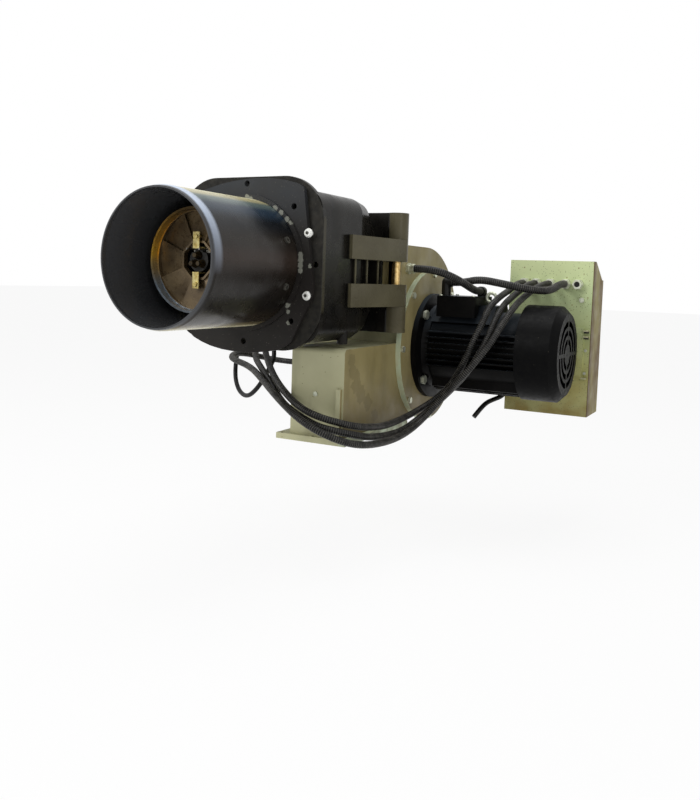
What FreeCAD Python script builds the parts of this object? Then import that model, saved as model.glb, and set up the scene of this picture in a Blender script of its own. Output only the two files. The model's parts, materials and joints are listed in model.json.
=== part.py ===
import FreeCAD, Part
import math
import os
import re

import Sketcher
from FreeCAD import Placement, Rotation, Vector

# Two-stage light-oil burner for a hot-water boiler. Millimetres, Z up.
# The origin is the middle of the face that bolts to the boiler. The flame fires towards -Y,
# the motor stands out towards +X, and the blower swings away from the head on a side hinge.

SIZES = {
    # general
    "running_gap": 0.3,
    "bush_gap": 0.08,
    "sheet_wall": 4,
    # boiler flange and flame tube
    "rim_corner": 88,
    "flange_thick": 10,
    "bolt_circle": 310,
    "boiler_hole": 12,
    "collar_radius": 134,
    "collar_height": 6,
    "tube_radius": 125,
    "tube_wall": 3,
    "tube_length": 265,
    "lip_length": 12,
    "lip_drop": 3,
    "spigot_length": 50,
    "spigot_wall": 4,
    "tube_screw_place": 36,
    "tube_screw_radius": 4,
    "gasket_thick": 3,
    # head casting
    "casting_half": 165,
    "casting_height": 142,
    "casting_low": 152,
    "casting_corner": 36,
    "casting_wall": 7,
    "casting_rim": 10,
    "casting_rim_half": 169,
    "casting_box_end": 178,
    "hopper_middle": 235,
    "hopper_left": 140,
    "hopper_right": 152,
    "hopper_high": 139,
    "hopper_low": 143,
    "rear_corner": 12,
    "rear_face": 300,
    "rear_rim": 10,
    "rear_left": -92,
    "rear_right": 142,
    "rear_half": 78,
    "rear_lip": 14,
    "boss_radius": 11,
    "boss_back": 134,
    "boss_low": 158,
    "sight_radius": 25,
    "sight_place": 92,
    # swing hinge
    "pin_across": 180,
    "pin_back": 322,
    "pin_radius": 9.5,
    "knuckle_radius": 24,
    "knuckle_high": 58,
    "arm_high": 48,
    "arm_gap": 50,
    "arm_front": 118,
    "hinge_mid": -9,
    "knuckle_gap": 0.5,
    # blower housing
    "scroll_left": 56,
    "scroll_right": 179,
    "fan_back": 516,
    "fan_height": -179,
    "spiral_step": 34,
    "spiral_radius": 150,
    "duct_front": 96,
    "duct_top": -166,
    "duct_back": 376,
    "outlet_front": 350,
    "side_opening": 150,
    "eye_radius": 80,
    "base_thick": 12,
    "base_margin": 24,
    "base_hole": 9,
    "joint_gasket": 3,
    "frame_thick": 12,
    "gusset_high": 100,
    # fan and motor
    "lid_thick": 5,
    "plate_radius": 180,
    "plate_thick": 12,
    "plate_circle": 342,
    "wheel_radius": 122,
    "wheel_width": 96,
    "wheel_blades": 36,
    "shaft_radius": 14,
    "motor_flange_radius": 125,
    "motor_flange_thick": 12,
    "motor_circle": 215,
    "frame_radius": 88,
    "fin_radius": 105,
    "bore_radius": 78,
    "frame_start": 28,
    "frame_length": 222,
    "cowl_radius": 109,
    "cowl_length": 92,
    "cowl_overlap": 12,
    "cowl_bevel": 16,
    # panel
    "panel_left": 343,
    "panel_wide": 202,
    "panel_front": 640,
    "panel_deep": 100,
    "panel_bottom": -335,
    "panel_high": 370,
    "panel_wall": 3,
    "panel_slope": 43,
    "door_thick": 14,
    # air intake side
    "intake_left": -66,
    "intake_front": 300,
    "intake_back": 618,
    "intake_top": -90,
    "flap_back": 420,
    "flap_height": -262,
    "flap_half": 72,
    "servo_deep": 56,
    # combustion head
    "ring_radius": 96,
    "ring_deep": 30,
    "ring_back": 100,
    "disc_radius": 88,
    "hub_radius": 31,
    "stay_reach": 43,
    "stay_screw": 2.2,
    "lance_radius": 12,
    # conduits
    "conduit_radius": 7,
    "hose_radius": 8.5,
    "cable_radius": 5.5,
    "gland_radius": 13,
    "gland_long": 18,
}

doc = FreeCAD.newDocument("diesel_burner")
sheet = doc.addObject("Spreadsheet::Sheet", "Sizes")
for row, (word, number) in enumerate(SIZES.items(), start=1):
    sheet.set("A%d" % row, word)
    sheet.set("B%d" % row, str(number))
    sheet.setAlias("B%d" % row, word)
doc.recompute()

pieces = []


# Formulas and primitives

def formula(text):
    """The text with each size's name spelt as a cell of the sheet."""
    return re.sub(r"[a-z][a-z_]*", lambda word: "Sizes." + word.group()
                  if word.group() in SIZES else word.group(), str(text))


def size(word):
    return float(sheet.get(word))


def bind(thing, **formulas):
    for prop, text in formulas.items():
        thing.setExpression(prop.replace("__", "."), formula(text))
    return thing


def place(thing, where, turn=None):
    """Puts a thing at a point given as three formulas, turned by a rotation."""
    thing.Placement = Placement(Vector(), turn or Rotation())
    for letter, text in zip("xyz", where):
        thing.setExpression("Placement.Base." + letter, formula(text))
    return thing


ALONG = {
    "x": Rotation(Vector(0, 1, 0), 90),
    "y": Rotation(Vector(1, 0, 0), -90),
    "z": Rotation(),
}


def box(corner, lengths):
    solid = doc.addObject("Part::Box", "block")
    bind(solid, Length=lengths[0], Width=lengths[1], Height=lengths[2])
    return place(solid, corner)


def span(low, high):
    """A box between two corners, each three formulas."""
    return box(low, ["(%s) - (%s)" % (b, a) for a, b in zip(low, high)])


def rod(axis, start, radius, length):
    solid = doc.addObject("Part::Cylinder", "rod")
    bind(solid, Radius=radius, Height=length)
    return place(solid, start, ALONG[axis])


def taper(axis, start, radius, far_radius, length):
    solid = doc.addObject("Part::Cone", "taper")
    bind(solid, Radius1=radius, Radius2=far_radius, Height=length)
    return place(solid, start, ALONG[axis])


def hexagon(axis, start, radius, length):
    solid = doc.addObject("Part::Prism", "hexagon")
    solid.Polygon = 6
    bind(solid, Circumradius=radius, Height=length)
    return place(solid, start, ALONG[axis])


def dome(centre, radius):
    solid = doc.addObject("Part::Sphere", "dome")
    bind(solid, Radius=radius)
    return place(solid, centre)


def torus(axis, centre, radius, thick):
    solid = doc.addObject("Part::Torus", "ring")
    bind(solid, Radius1=radius, Radius2=thick)
    return place(solid, centre, ALONG[axis])


def join(solids):
    whole = doc.addObject("Part::MultiFuse", "joined")
    whole.Shapes = solids
    return whole


def group(solids):
    """Separate solids that share one node."""
    whole = doc.addObject("Part::Compound", "group")
    whole.Links = solids
    return whole


def cut(base, tools):
    rest = doc.addObject("Part::Cut", "cut")
    rest.Base = base
    rest.Tool = tools[0] if len(tools) == 1 else join(tools)
    return rest


def common(first, second):
    both = doc.addObject("Part::Common", "common")
    both.Base = first
    both.Tool = second
    return both


def hollow_rod(axis, start, radius, bore, length):
    return cut(rod(axis, start, radius, length), [rod(axis, start, bore, length)])


def piece(thing, name):
    thing.Label = name
    pieces.append(thing)
    return thing


def round_the(axis, centre, radius, angle):
    """The point on a circle about an axis, as formulas. The angle is in degrees."""
    across = "(%s) * cos(%g)" % (radius, angle)
    up = "(%s) * sin(%g)" % (radius, angle)
    if axis == "x":
        return centre[0], "%s + %s" % (centre[1], across), "%s + %s" % (centre[2], up)
    return "%s + %s" % (centre[0], across), centre[1], "%s + %s" % (centre[2], up)


# Sketched bodies

def body(name, where=("0", "0", "0")):
    return place(doc.addObject("PartDesign::Body", name), where)


def origin_plane(owner, role):
    return [part for part in owner.Origin.OriginFeatures if part.Role == role][0]


def outline(owner, role, corners):
    """A closed sketch through corners given as pairs of formulas, each bound to the sheet."""
    sketch = owner.newObject("Sketcher::SketchObject", "outline")
    sketch.AttachmentSupport = (origin_plane(owner, role), [""])
    sketch.MapMode = "FlatFace"
    spots = [Vector(worth(a), worth(b), 0) for a, b in corners]
    count = len(spots)
    for index, spot in enumerate(spots):
        sketch.addGeometry(Part.LineSegment(spot, spots[(index + 1) % count]), False)
    for index in range(count):
        sketch.addConstraint(Sketcher.Constraint("Coincident", index, 2, (index + 1) % count, 1))
    for index, (across, up) in enumerate(corners):
        for kind, text, number in (("DistanceX", across, spots[index].x),
                                   ("DistanceY", up, spots[index].y)):
            rule = sketch.addConstraint(Sketcher.Constraint(kind, -1, 1, index, 1, number))
            sketch.setExpression("Constraints[%d]" % rule, formula(text))
    return sketch


def worth(text):
    """The number that a formula gives now."""
    probe = doc.getObject("Probe") or doc.addObject("App::FeaturePython", "Probe")
    if "Result" not in probe.PropertiesList:
        probe.addProperty("App::PropertyFloat", "Result")
    probe.setExpression("Result", formula(text))
    probe.recompute()
    return probe.Result


def pad(owner, sketch, length, back=False):
    feature = owner.newObject("PartDesign::Pad", "pad")
    feature.Profile = sketch
    feature.Reversed = back
    bind(feature, Length=length)
    sketch.Visibility = False
    return feature


def revolve(owner, sketch, axis):
    feature = owner.newObject("PartDesign::Revolution", "turned")
    feature.Profile = sketch
    feature.ReferenceAxis = (sketch, [axis])
    feature.Angle = 360
    return feature


def fillet(owner, feature, chooser, radius):
    doc.recompute()
    edges = ["Edge%d" % (number + 1) for number, edge in enumerate(feature.Shape.Edges)
             if chooser(edge)]
    rounded = owner.newObject("PartDesign::Fillet", "rounded")
    rounded.Base = (feature, edges)
    bind(rounded, Radius=radius)
    return rounded


def runs_along(edge, direction):
    """True for a straight edge that runs along a direction."""
    if not isinstance(edge.Curve, Part.Line):
        return False
    return abs(edge.Curve.Direction.dot(direction)) > 0.999


def shaped(name, shape, where=None):
    """A piece whose outline has arcs that no sketch here holds."""
    thing = doc.addObject("Part::Feature", name)
    thing.Shape = shape
    if where:
        thing.Placement = Placement(where, Rotation())
    return thing


# Boiler flange, flame tube and head casting

def rounded_block(name, half, low, high, corner, front, length):
    """A block square to the flame axis, with its four long edges rounded."""
    block = body(name, ("0", front, "0"))
    sketch = outline(block, "XZ_Plane", [("-(%s)" % half, "-(%s)" % low),
                                         (half, "-(%s)" % low), (half, high),
                                         ("-(%s)" % half, high)])
    slab = pad(block, sketch, length, back=True)
    fillet(block, slab, lambda edge: runs_along(edge, Vector(0, 1, 0)), corner)
    return block


def rim_plate(name, front, thick):
    half = "casting_rim_half"
    return rounded_block(name, half, half, half, "rim_corner", front, thick)


def bolt_spots(circle, angles, along):
    return [round_the("y", ("0", along, "0"), "%s / 2" % circle, angle) for angle in angles]


BOILER_ANGLES = [45 * step for step in range(8)]
CASTING_ANGLES = [22.5, 157.5, 202.5, 337.5]
# The boiler plate's corners, across and up, from its upper left round by the motor side.
PLATE_CORNERS = [
    (-91.5, 148), (-63, 155.3), (-32, 160.6), (-1.5, 164), (28, 165.4), (58, 164.1),
    (87, 160.2), (110, 154.6), (124, 149.5), (130.5, 143), (156.5, -46), (156.5, -58),
    (112, -147.6), (106, -154), (97, -160.5), (83, -166), (62, -171), (36, -174.8),
    (6, -176.9), (-25, -177), (-52, -174.8), (-80, -169.8), (-104, -162.6), (-124, -154),
    (-141, -141), (-154, -124), (-163, -104), (-169, -80), (-172, -50), (-173, -10),
    (-172, 35), (-168, 70), (-160, 98), (-148, 119), (-132, 134), (-112, 143),
]


def make_mounting_flange():
    plate = body("flange_plate")
    pad(plate, outline(plate, "XZ_Plane", PLATE_CORNERS), "flange_thick", back=True)
    collar = rod("y", ("0", "-collar_height", "0"), "collar_radius", "collar_height")
    spigot = rod("y", ("0", "-spigot_length", "0"),
                 "tube_radius - tube_wall - running_gap", "spigot_length + flange_thick")
    whole = join([plate, collar])
    seat = rod("y", ("0", "-collar_height", "0"), "tube_radius + running_gap", "collar_height")
    bore = rod("y", ("0", "-spigot_length", "0"),
               "tube_radius - tube_wall - running_gap - spigot_wall",
               "spigot_length + flange_thick")
    holes = [rod("y", spot, "boiler_hole / 2", "flange_thick")
             for spot in bolt_spots("bolt_circle", BOILER_ANGLES, "0")]
    holes += [rod("y", spot, "5 + running_gap", "flange_thick")
              for spot in bolt_spots("bolt_circle", CASTING_ANGLES, "0")]
    cupped = cut(whole, [seat] + holes)
    piece(cut(join([cupped, spigot]), [bore] + tube_screw_holes()), "mounting_flange")


TUBE_SCREW_ANGLES = [20, 160, 200, 340]


def spoke_rod(angle, start_radius, radius, length):
    """A rod that points outward from the flame axis, where the tube's screws are."""
    stick = doc.addObject("Part::Cylinder", "rod")
    bind(stick, Radius=radius, Height=length)
    outward = Vector(math.cos(math.radians(angle)), 0, math.sin(math.radians(angle)))
    start = round_the("y", ("0", "-tube_screw_place", "0"), start_radius, angle)
    return place(stick, start, Rotation(Vector(0, 0, 1), outward))


def tube_screw_holes():
    return [spoke_rod(angle, "tube_radius - 14", "tube_screw_radius + running_gap", "20")
            for angle in TUBE_SCREW_ANGLES]


def make_flame_tube():
    tube = body("flame_tube_body")
    front = "-tube_length"
    corners = [
        ("tube_radius - lip_drop", front),
        ("tube_radius", "-tube_length + lip_length"),
        ("tube_radius", "-running_gap"),
        ("tube_radius - tube_wall", "-running_gap"),
        ("tube_radius - tube_wall", "-tube_length + lip_length"),
        ("tube_radius - tube_wall - lip_drop", front),
    ]
    revolve(tube, outline(tube, "XY_Plane", corners), "V_Axis")
    piece(cut(tube, tube_screw_holes()), "flame_tube")


def make_tube_screws():
    screws = []
    for angle in TUBE_SCREW_ANGLES:
        shank = spoke_rod(angle, "tube_radius - 9", "tube_screw_radius", "10")
        head = spoke_rod(angle, "tube_radius + 0.1", "tube_screw_radius + 2.5", "4")
        socket = spoke_rod(angle, "tube_radius + 2", "tube_screw_radius - 1.2", "3")
        screws.append(cut(join([shank, head]), [socket]))
    piece(group(screws), "tube_screws")


def make_flange_gasket():
    plate = rim_plate("gasket_plate", "flange_thick", "gasket_thick")
    bore = rod("y", ("0", "flange_thick", "0"), "tube_radius", "gasket_thick")
    holes = [rod("y", spot, "boiler_hole / 2", "gasket_thick")
             for spot in bolt_spots("bolt_circle", BOILER_ANGLES, "flange_thick")]
    holes += [rod("y", spot, "5 + running_gap", "gasket_thick")
              for spot in bolt_spots("bolt_circle", CASTING_ANGLES, "flange_thick")]
    piece(cut(plate, [bore] + holes), "flange_gasket")


def make_casting_screws():
    spots = bolt_spots("bolt_circle", CASTING_ANGLES, "0")
    piece(group(flange_screws(spots)), "casting_screws")


def flange_screws(spots):
    screws = []
    for spot in spots:
        head = taper("y", (spot[0], "-5", spot[2]), "6.5", "9", "5")
        shank = rod("y", spot, "5", "flange_thick + gasket_thick + casting_rim - 2")
        screws.append(join([head, shank]))
    return screws


def section_wire(left, right, low, high, corner, along):
    """A rounded section of the casting, square to the flame axis: a line and an arc in turn."""
    left, right, low, high = worth(left), worth(right), worth(low), worth(high)
    radius, depth = worth(corner), worth(along)
    reach = radius * math.sqrt(0.5)
    edges = []
    corners = [(right - radius, low + radius, 1, -1), (right - radius, high - radius, 1, 1),
               (left + radius, high - radius, -1, 1), (left + radius, low + radius, -1, -1)]
    start = Vector(left + radius, depth, low)
    for across, up, side, lift in corners:
        middle = Vector(across + side * reach, depth, up + lift * reach)
        tips = [Vector(across, depth, up + lift * radius), Vector(across + side * radius, depth, up)]
        if side * lift > 0:
            tips.reverse()
        edges.append(line(start, tips[0]))
        edges.append(Part.Arc(tips[0], middle, tips[1]).toShape())
        start = tips[1]
    return Part.Wire(edges)


def hopper(inset):
    """The casting's tapered rear, from the box section to the rear opening."""
    less = " - %s" % inset
    corner = "casting_corner" + less
    front = section_wire("-casting_half + " + inset, "casting_half" + less,
                         "-casting_low + " + inset, "casting_height" + less, corner,
                         "casting_box_end")
    middle = section_wire("-hopper_left + " + inset, "hopper_right" + less,
                          "-hopper_low + " + inset, "hopper_high" + less, corner,
                          "hopper_middle")
    rear = section_wire("rear_left + " + inset, "rear_right" + less,
                        "-rear_half + " + inset, "rear_half" + less, "rear_corner" + less,
                        "rear_face - rear_rim")
    return Part.makeLoft([front, middle, rear], True, True)


def make_head_casting():
    start = "flange_thick + gasket_thick"
    length = "casting_box_end - flange_thick - gasket_thick"
    rim = rim_plate("casting_rim_plate", start, "casting_rim")
    shell = rounded_block("casting_box", "casting_half", "casting_low", "casting_height",
                          "casting_corner", start, length)
    hollow = rounded_block("casting_room", "casting_half - casting_wall",
                           "casting_low - casting_wall", "casting_height - casting_wall",
                           "casting_corner - casting_wall", start, length)
    rear = shaped("hopper_outside", hopper("0"))
    rear_room = shaped("hopper_inside", hopper("casting_wall"))
    rear_plate = span(("rear_left - rear_lip", "rear_face - rear_rim", "-rear_half - rear_lip"),
                      ("rear_right + rear_lip", "rear_face", "rear_half + rear_lip"))
    rear_hole = span(("rear_left + casting_wall", "rear_face - rear_rim",
                      "-rear_half + casting_wall"),
                     ("rear_right - casting_wall", "rear_face", "rear_half - casting_wall"))
    boss = rod("z", ("casting_half - boss_radius - 3", "boss_back", "-boss_low"),
               "boss_radius", "40")
    solids = [rim, shell, rear, rear_plate, boss] + hinge_arms()
    holes = [rod("y", spot, "5 + running_gap", "casting_rim")
             for spot in bolt_spots("bolt_circle", CASTING_ANGLES, start)]
    holes += [rod("y", spot, "boiler_hole / 2", "casting_rim")
              for spot in bolt_spots("bolt_circle", BOILER_ANGLES, start)]
    sight = rod("z", ("0", "sight_place", "casting_height - casting_wall - 1"),
                "sight_radius / 2", "casting_wall + 2")
    piece(cut(join(solids), [hollow, rear_room, rear_hole, sight] + holes + pin_bore()),
          "head_casting")


def arm_levels():
    """The lower edge of each hinge arm, as formulas."""
    return ["hinge_mid + arm_gap / 2", "hinge_mid - arm_gap / 2 - arm_high"]


def hinge_arms():
    """Two arms flush with the casting's side, which widen into the knuckles."""
    corners = [
        ("casting_half - 9", "arm_front"), ("casting_half + 11", "arm_front"),
        ("pin_across + knuckle_radius", "pin_back"),
        ("pin_across - knuckle_radius", "pin_back"),
        ("pin_across - knuckle_radius", "rear_face"), ("rear_right", "rear_face - rear_rim"),
    ]
    arms = []
    for level in arm_levels():
        arm = body("hinge_arm", ("0", "0", level))
        pad(arm, outline(arm, "XY_Plane", corners), "arm_high")
        arms += [arm, rod("z", ("pin_across", "pin_back", level), "knuckle_radius", "arm_high")]
    for step in range(3):
        along = "arm_front + 24 + %d * 52" % step
        arms.append(span(("hopper_right - casting_wall", along, "hinge_mid - arm_gap / 2 - 1"),
                         ("casting_half + 6", along + " + 6", "hinge_mid + arm_gap / 2 + 1")))
    return arms


def pin_bore():
    return [rod("z", ("pin_across", "pin_back", "hinge_mid - 200"),
                "pin_radius + bush_gap", "400")]


def make_sight_port():
    foot = rod("z", ("0", "sight_place", "casting_height"), "sight_radius", "8")
    shell = rod("z", ("0", "sight_place", "casting_height + 8"), "sight_radius - 3", "12")
    top = common(dome(("0", "sight_place", "casting_height + 12"), "sight_radius - 3"),
                 span(("-sight_radius", "sight_place - sight_radius", "casting_height + 12"),
                      ("sight_radius", "sight_place + sight_radius", "casting_height + 60")))
    stem = rod("z", ("0", "sight_place", "casting_height - 16"),
               "sight_radius / 2 - running_gap", "17")
    piece(join([foot, shell, top, stem]), "flame_sensor")


# Combustion head inside the flame tube

VANE_LOW, VANE_HIGH = 6, 3


def disc_face():
    """Where the diffuser's creases lie along the flame axis."""
    return "-tube_length + ring_back + ring_deep - 8"


def make_diffuser():
    front = "-tube_length + ring_back"
    ring = hollow_rod("y", ("0", front, "0"), "ring_radius", "ring_radius - 4", "ring_deep")
    piece(ring, "diffuser_ring")
    hub = cut(octagon("hub_radius + 4"), [octagon("hub_radius")])
    rim = hollow_rod("y", ("0", disc_face() + " - %g" % (VANE_LOW + 1), "0"),
                     "disc_radius + 3.9", "disc_radius + 1.5", "%g" % (VANE_LOW + VANE_HIGH + 4))
    vane = diffuser_vane()
    vanes = [ray(vane, 45 * step) for step in range(8)]
    holes = [rod("y", ("0", disc_face() + " - 12", level), "stay_screw + running_gap", "24")
             for level in ("stay_reach", "-stay_reach")]
    piece(cut(join([join([hub] + vanes), rim]), holes), "diffuser_disc")


def octagon(radius):
    """An eight-sided block on the flame axis, its radius taken across the flats."""
    block = doc.addObject("Part::Prism", "octagon")
    block.Polygon = 8
    bind(block, Circumradius="(%s) / cos(22.5)" % radius, Height="%g" % (VANE_LOW + 5))
    turn = ALONG["y"].multiply(Rotation(Vector(0, 0, 1), 22.5))
    return place(block, ("0", disc_face() + " - %g" % VANE_LOW, "0"), turn)


def diffuser_vane():
    """One creased vane: both halves lean away from its middle line, one to each side."""
    vane = body("vane", ("hub_radius + 2", disc_face(), "0"))
    wide = "disc_radius * tan(23.5)"
    profile = [("0.01", "0.01"), (wide, "%g" % VANE_HIGH), (wide, "%g" % (VANE_HIGH + 2)),
               ("0.01", "2"), ("-" + wide, "%g" % (2 - VANE_LOW)), ("-" + wide, "-%g" % VANE_LOW)]
    corners = [(up, across) for across, up in profile]
    pad(vane, outline(vane, "YZ_Plane", corners), "disc_radius - hub_radius + 4")
    wedge = body("vane_wedge", ("0", disc_face() + " - 20", "0"))
    far = "disc_radius + 12"
    pad(wedge, outline(wedge, "XZ_Plane", [("0.01", "0.01"), (far, far + " * tan(23.5)"),
                                           (far, "-(%s) * tan(23.5)" % far)]), "40", back=True)
    disc = rod("y", ("0", disc_face() + " - 20", "0"), "disc_radius + 2.5", "40")
    return common(common(vane, wedge), disc)


def ray(slot, angle):
    """A copy of a slot turned about the flame axis."""
    link = doc.addObject("Part::Compound", "ray")
    link.Links = [slot]
    link.Placement = Placement(Vector(), Rotation(Vector(0, 1, 0), angle))
    return link


def make_lance():
    back = "-tube_length + ring_back"
    piece(hollow_rod("y", ("0", "-tube_length + ring_back + 46", "0"), "lance_radius",
                     "lance_radius - 3", "tube_length + 60"), "nozzle_lance")
    block = rod("y", ("0", "-tube_length + ring_back + 20", "0"), "hub_radius - 10", "26")
    notches = [rod("y", (side + "14", "-tube_length + ring_back + 20", "20"),
                   "6 + running_gap", "26") for side in ("-", "")]
    piece(cut(block, notches), "nozzle_holder")
    nozzles = [taper("y", (across, "-tube_length + ring_back + 6", up), "4", "8", "14")
               for across, up in (("0", "9"), ("-8", "-6"), ("8", "-6"))]
    piece(group(nozzles), "oil_nozzles")
    sleeve = hollow_rod("y", ("0", back + " + 120", "0"), "lance_radius + 5",
                        "lance_radius", "24")
    legs = []
    for angle in (90, 210, 330):
        leg = box(("lance_radius + 3", back + " + 126", "-6"),
                  ("tube_radius - tube_wall - spigot_wall - lance_radius - 4.4", "12", "12"))
        legs.append(ray(leg, -angle))
    piece(join([sleeve] + legs), "lance_spider")


def diffuser_stays():
    """Above and below the nozzles: a leg on the holder, a tab on the disc and its screw."""
    leg_start = disc_face() + " - 11"
    stays = []
    for angle in (0, 180):
        leg = box(("-7", leg_start, "hub_radius - 10 + running_gap"), ("14", "30", "3"))
        tab = box(("-7", leg_start, "hub_radius - 10 + running_gap"),
                  ("14", "2.5", "stay_reach - hub_radius + 18"))
        spacer = rod("y", ("0", leg_start, "stay_reach"), "stay_screw + 2",
                     "11 - 4 * running_gap")
        shank = rod("y", ("0", leg_start, "stay_reach"), "stay_screw", "20")
        head = rod("y", ("0", leg_start + " - 3", "stay_reach"), "stay_screw + 2.2", "3.5")
        stays.append(ray(join([leg, tab, spacer, shank, head]), angle))
    return stays


def make_electrodes():
    rods = []
    insulators = []
    for side in ("-", ""):
        across = "%s14" % side
        rods.append(rod("y", (across, "-tube_length + ring_back + 2", "20"), "1.5", "30"))
        insulators.append(hollow_rod("y", (across, "-tube_length + ring_back + 30", "20"),
                                     "6", "1.5", "90"))
    piece(group(rods), "electrode_rods")
    piece(group(insulators), "electrode_insulators")
    saddle = span(("-22", "-tube_length + ring_back + 60", "lance_radius + 0.2"),
                  ("22", "-tube_length + ring_back + 70", "28"))
    clamp = cut(saddle, [rod("y", (side + "14", "-tube_length + ring_back + 60", "20"),
                             "6 + bush_gap", "10") for side in ("-", "")])
    piece(group(diffuser_stays() + [clamp]), "head_brackets")


# Blower housing

def volute(inset):
    """The scroll's arcs as edges, from the top line round to the bottom line."""
    step = size("spiral_step")
    first = size("spiral_radius") - inset
    y0 = size("fan_back")
    z0 = size("fan_height")
    second = first + step
    third = second + step
    half = step / 2
    top = Vector(0, y0 - half, z0 + half + third)
    rear = Vector(0, y0 - half + third, z0 + half)
    bottom = Vector(0, y0 + half, z0 + half - second)
    diagonal = math.sqrt(0.5)
    upper = Part.Arc(top, Vector(0, y0 - half + third * diagonal, z0 + half + third * diagonal),
                     rear)
    lower = Part.Arc(rear, Vector(0, y0 + half + second * diagonal,
                                  z0 + half - second * diagonal), bottom)
    return top, bottom, [upper.toShape(), lower.toShape()]


def line(start, end):
    return Part.LineSegment(start, end).toShape()


def slab(wire_edges, left, right):
    wire = Part.Wire(wire_edges)
    face = Part.Face(wire)
    face.translate(Vector(left, 0, 0))
    return face.extrude(Vector(right - left, 0, 0))


def make_scroll_housing():
    wall = size("sheet_wall")
    left, right = size("scroll_left"), size("scroll_right")
    front, back = size("duct_front"), size("duct_back")
    duct_top, outlet = size("duct_top"), size("outlet_front")
    top, bottom, arcs = volute(0)
    floor = bottom.z
    corners = [bottom, Vector(0, front, floor), Vector(0, front, duct_top),
               Vector(0, outlet, duct_top), Vector(0, outlet, top.z), top]
    edges = [line(a, b) for a, b in zip(corners, corners[1:])] + arcs
    outside = slab(edges, left, right)
    outside = outside.makeFillet(10, [edge for edge in outside.Edges if scroll_corner(edge)])
    # the fan's room: arcs inside the walls, closed by the tongue and the outlet's floor
    top_in, bottom_in, arcs_in = volute(wall)
    tongue = Vector(0, size("fan_back") - size("spiral_radius") + size("spiral_step") / 2 + wall,
                    size("fan_height") + size("spiral_step") / 2 + 8)
    first = size("spiral_radius") - wall
    half = size("spiral_step") / 2
    front_arc = Part.Arc(bottom_in,
                         Vector(0, size("fan_back") + half - first * math.sqrt(0.5),
                                size("fan_height") - half - first * math.sqrt(0.5)),
                         Vector(0, size("fan_back") + half - first,
                                size("fan_height") - half)).toShape()
    turn = Vector(0, size("fan_back") + half - first, size("fan_height") - half)
    lip = Vector(0, turn.y, size("fan_height") + 60)
    sill = Vector(0, outlet, lip.z + 24)
    gate = Vector(0, outlet, top_in.z)
    inside = [front_arc, line(turn, lip), line(lip, sill), line(sill, gate), line(gate, top_in)]
    room = slab(inside + arcs_in, left + wall, right - wall)
    duct_room = Part.makeBox(right - left - 2 * wall, back - front - 2 * wall,
                             duct_top - wall - floor,
                             Vector(left + wall, front + wall, floor))
    fan_centre = Vector(0, size("fan_back"), size("fan_height"))
    side_hole = Part.makeCylinder(size("side_opening"), wall,
                                  fan_centre + Vector(right - wall, 0, 0), Vector(1, 0, 0))
    eye = Part.makeCylinder(size("eye_radius"), wall, fan_centre + Vector(left, 0, 0),
                            Vector(1, 0, 0))
    window = Part.makeBox(wall, back - size("intake_front") - 2 * wall - 4, 150,
                          Vector(left, size("intake_front") + wall + 4, floor + 16))
    shell = shaped("scroll_shell", outside.cut([room, duct_room, side_hole, eye, window]))
    floor_text = "(%s + base_thick)" % base_bottom()
    bar = span(("scroll_right - 14", "duct_front - 7", floor_text),
               ("scroll_right - 4", "duct_front + 1", "%s + gusset_high" % floor_text))
    piece(join([shell, bar]), "scroll_housing")


def scroll_corner(edge):
    """The upright front corners of the intake duct are folded, not sharp."""
    middle = edge.BoundBox.Center
    return runs_along(edge, Vector(1, 0, 0)) and abs(middle.y - size("duct_front")) < 1 \
        and middle.z > size("duct_top") - 1


def make_base_flange():
    low = ("scroll_left - base_margin", "duct_front - 16", base_bottom())
    high = ("scroll_right + 14", "duct_back + 10", "%s + base_thick" % base_bottom())
    window_low = ("scroll_left + sheet_wall", "duct_front + sheet_wall", base_bottom())
    window_high = ("scroll_right - sheet_wall", "duct_back - sheet_wall",
                   "%s + base_thick" % base_bottom())
    holes = []
    for across in ("scroll_left - base_margin / 2", "(scroll_left + scroll_right) / 2"):
        for along in ("duct_front - 8", ):
            holes.append(rod("z", (across, along, base_bottom()), "base_hole / 2", "base_thick"))
    for step in range(4):
        along = "duct_front + 30 + %d * (duct_back - duct_front - 40) / 3" % step
        holes.append(rod("z", ("scroll_left - base_margin / 2", along, base_bottom()),
                         "base_hole / 2", "base_thick"))
    piece(cut(span(low, high), [span(window_low, window_high)] + holes), "base_flange")


def base_bottom():
    return "(fan_height - spiral_step / 2 - spiral_radius) - base_thick"


def make_outlet_box():
    low = ("rear_left - 4", "rear_face + joint_gasket + frame_thick", "-rear_half")
    high = ("rear_right + 6", "outlet_front", "rear_half - 24")
    shell = span(low, high)
    room = span(("rear_left", "rear_face + joint_gasket + frame_thick", "-rear_half + sheet_wall"),
                ("rear_right + 2", "outlet_front - sheet_wall", "rear_half - 28"))
    gate = span(("scroll_left + sheet_wall", "outlet_front - sheet_wall",
                 "-rear_half + sheet_wall"),
                ("rear_right + 2", "outlet_front", "rear_half - 30"))
    piece(cut(shell, [room, gate]), "outlet_box")


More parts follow.
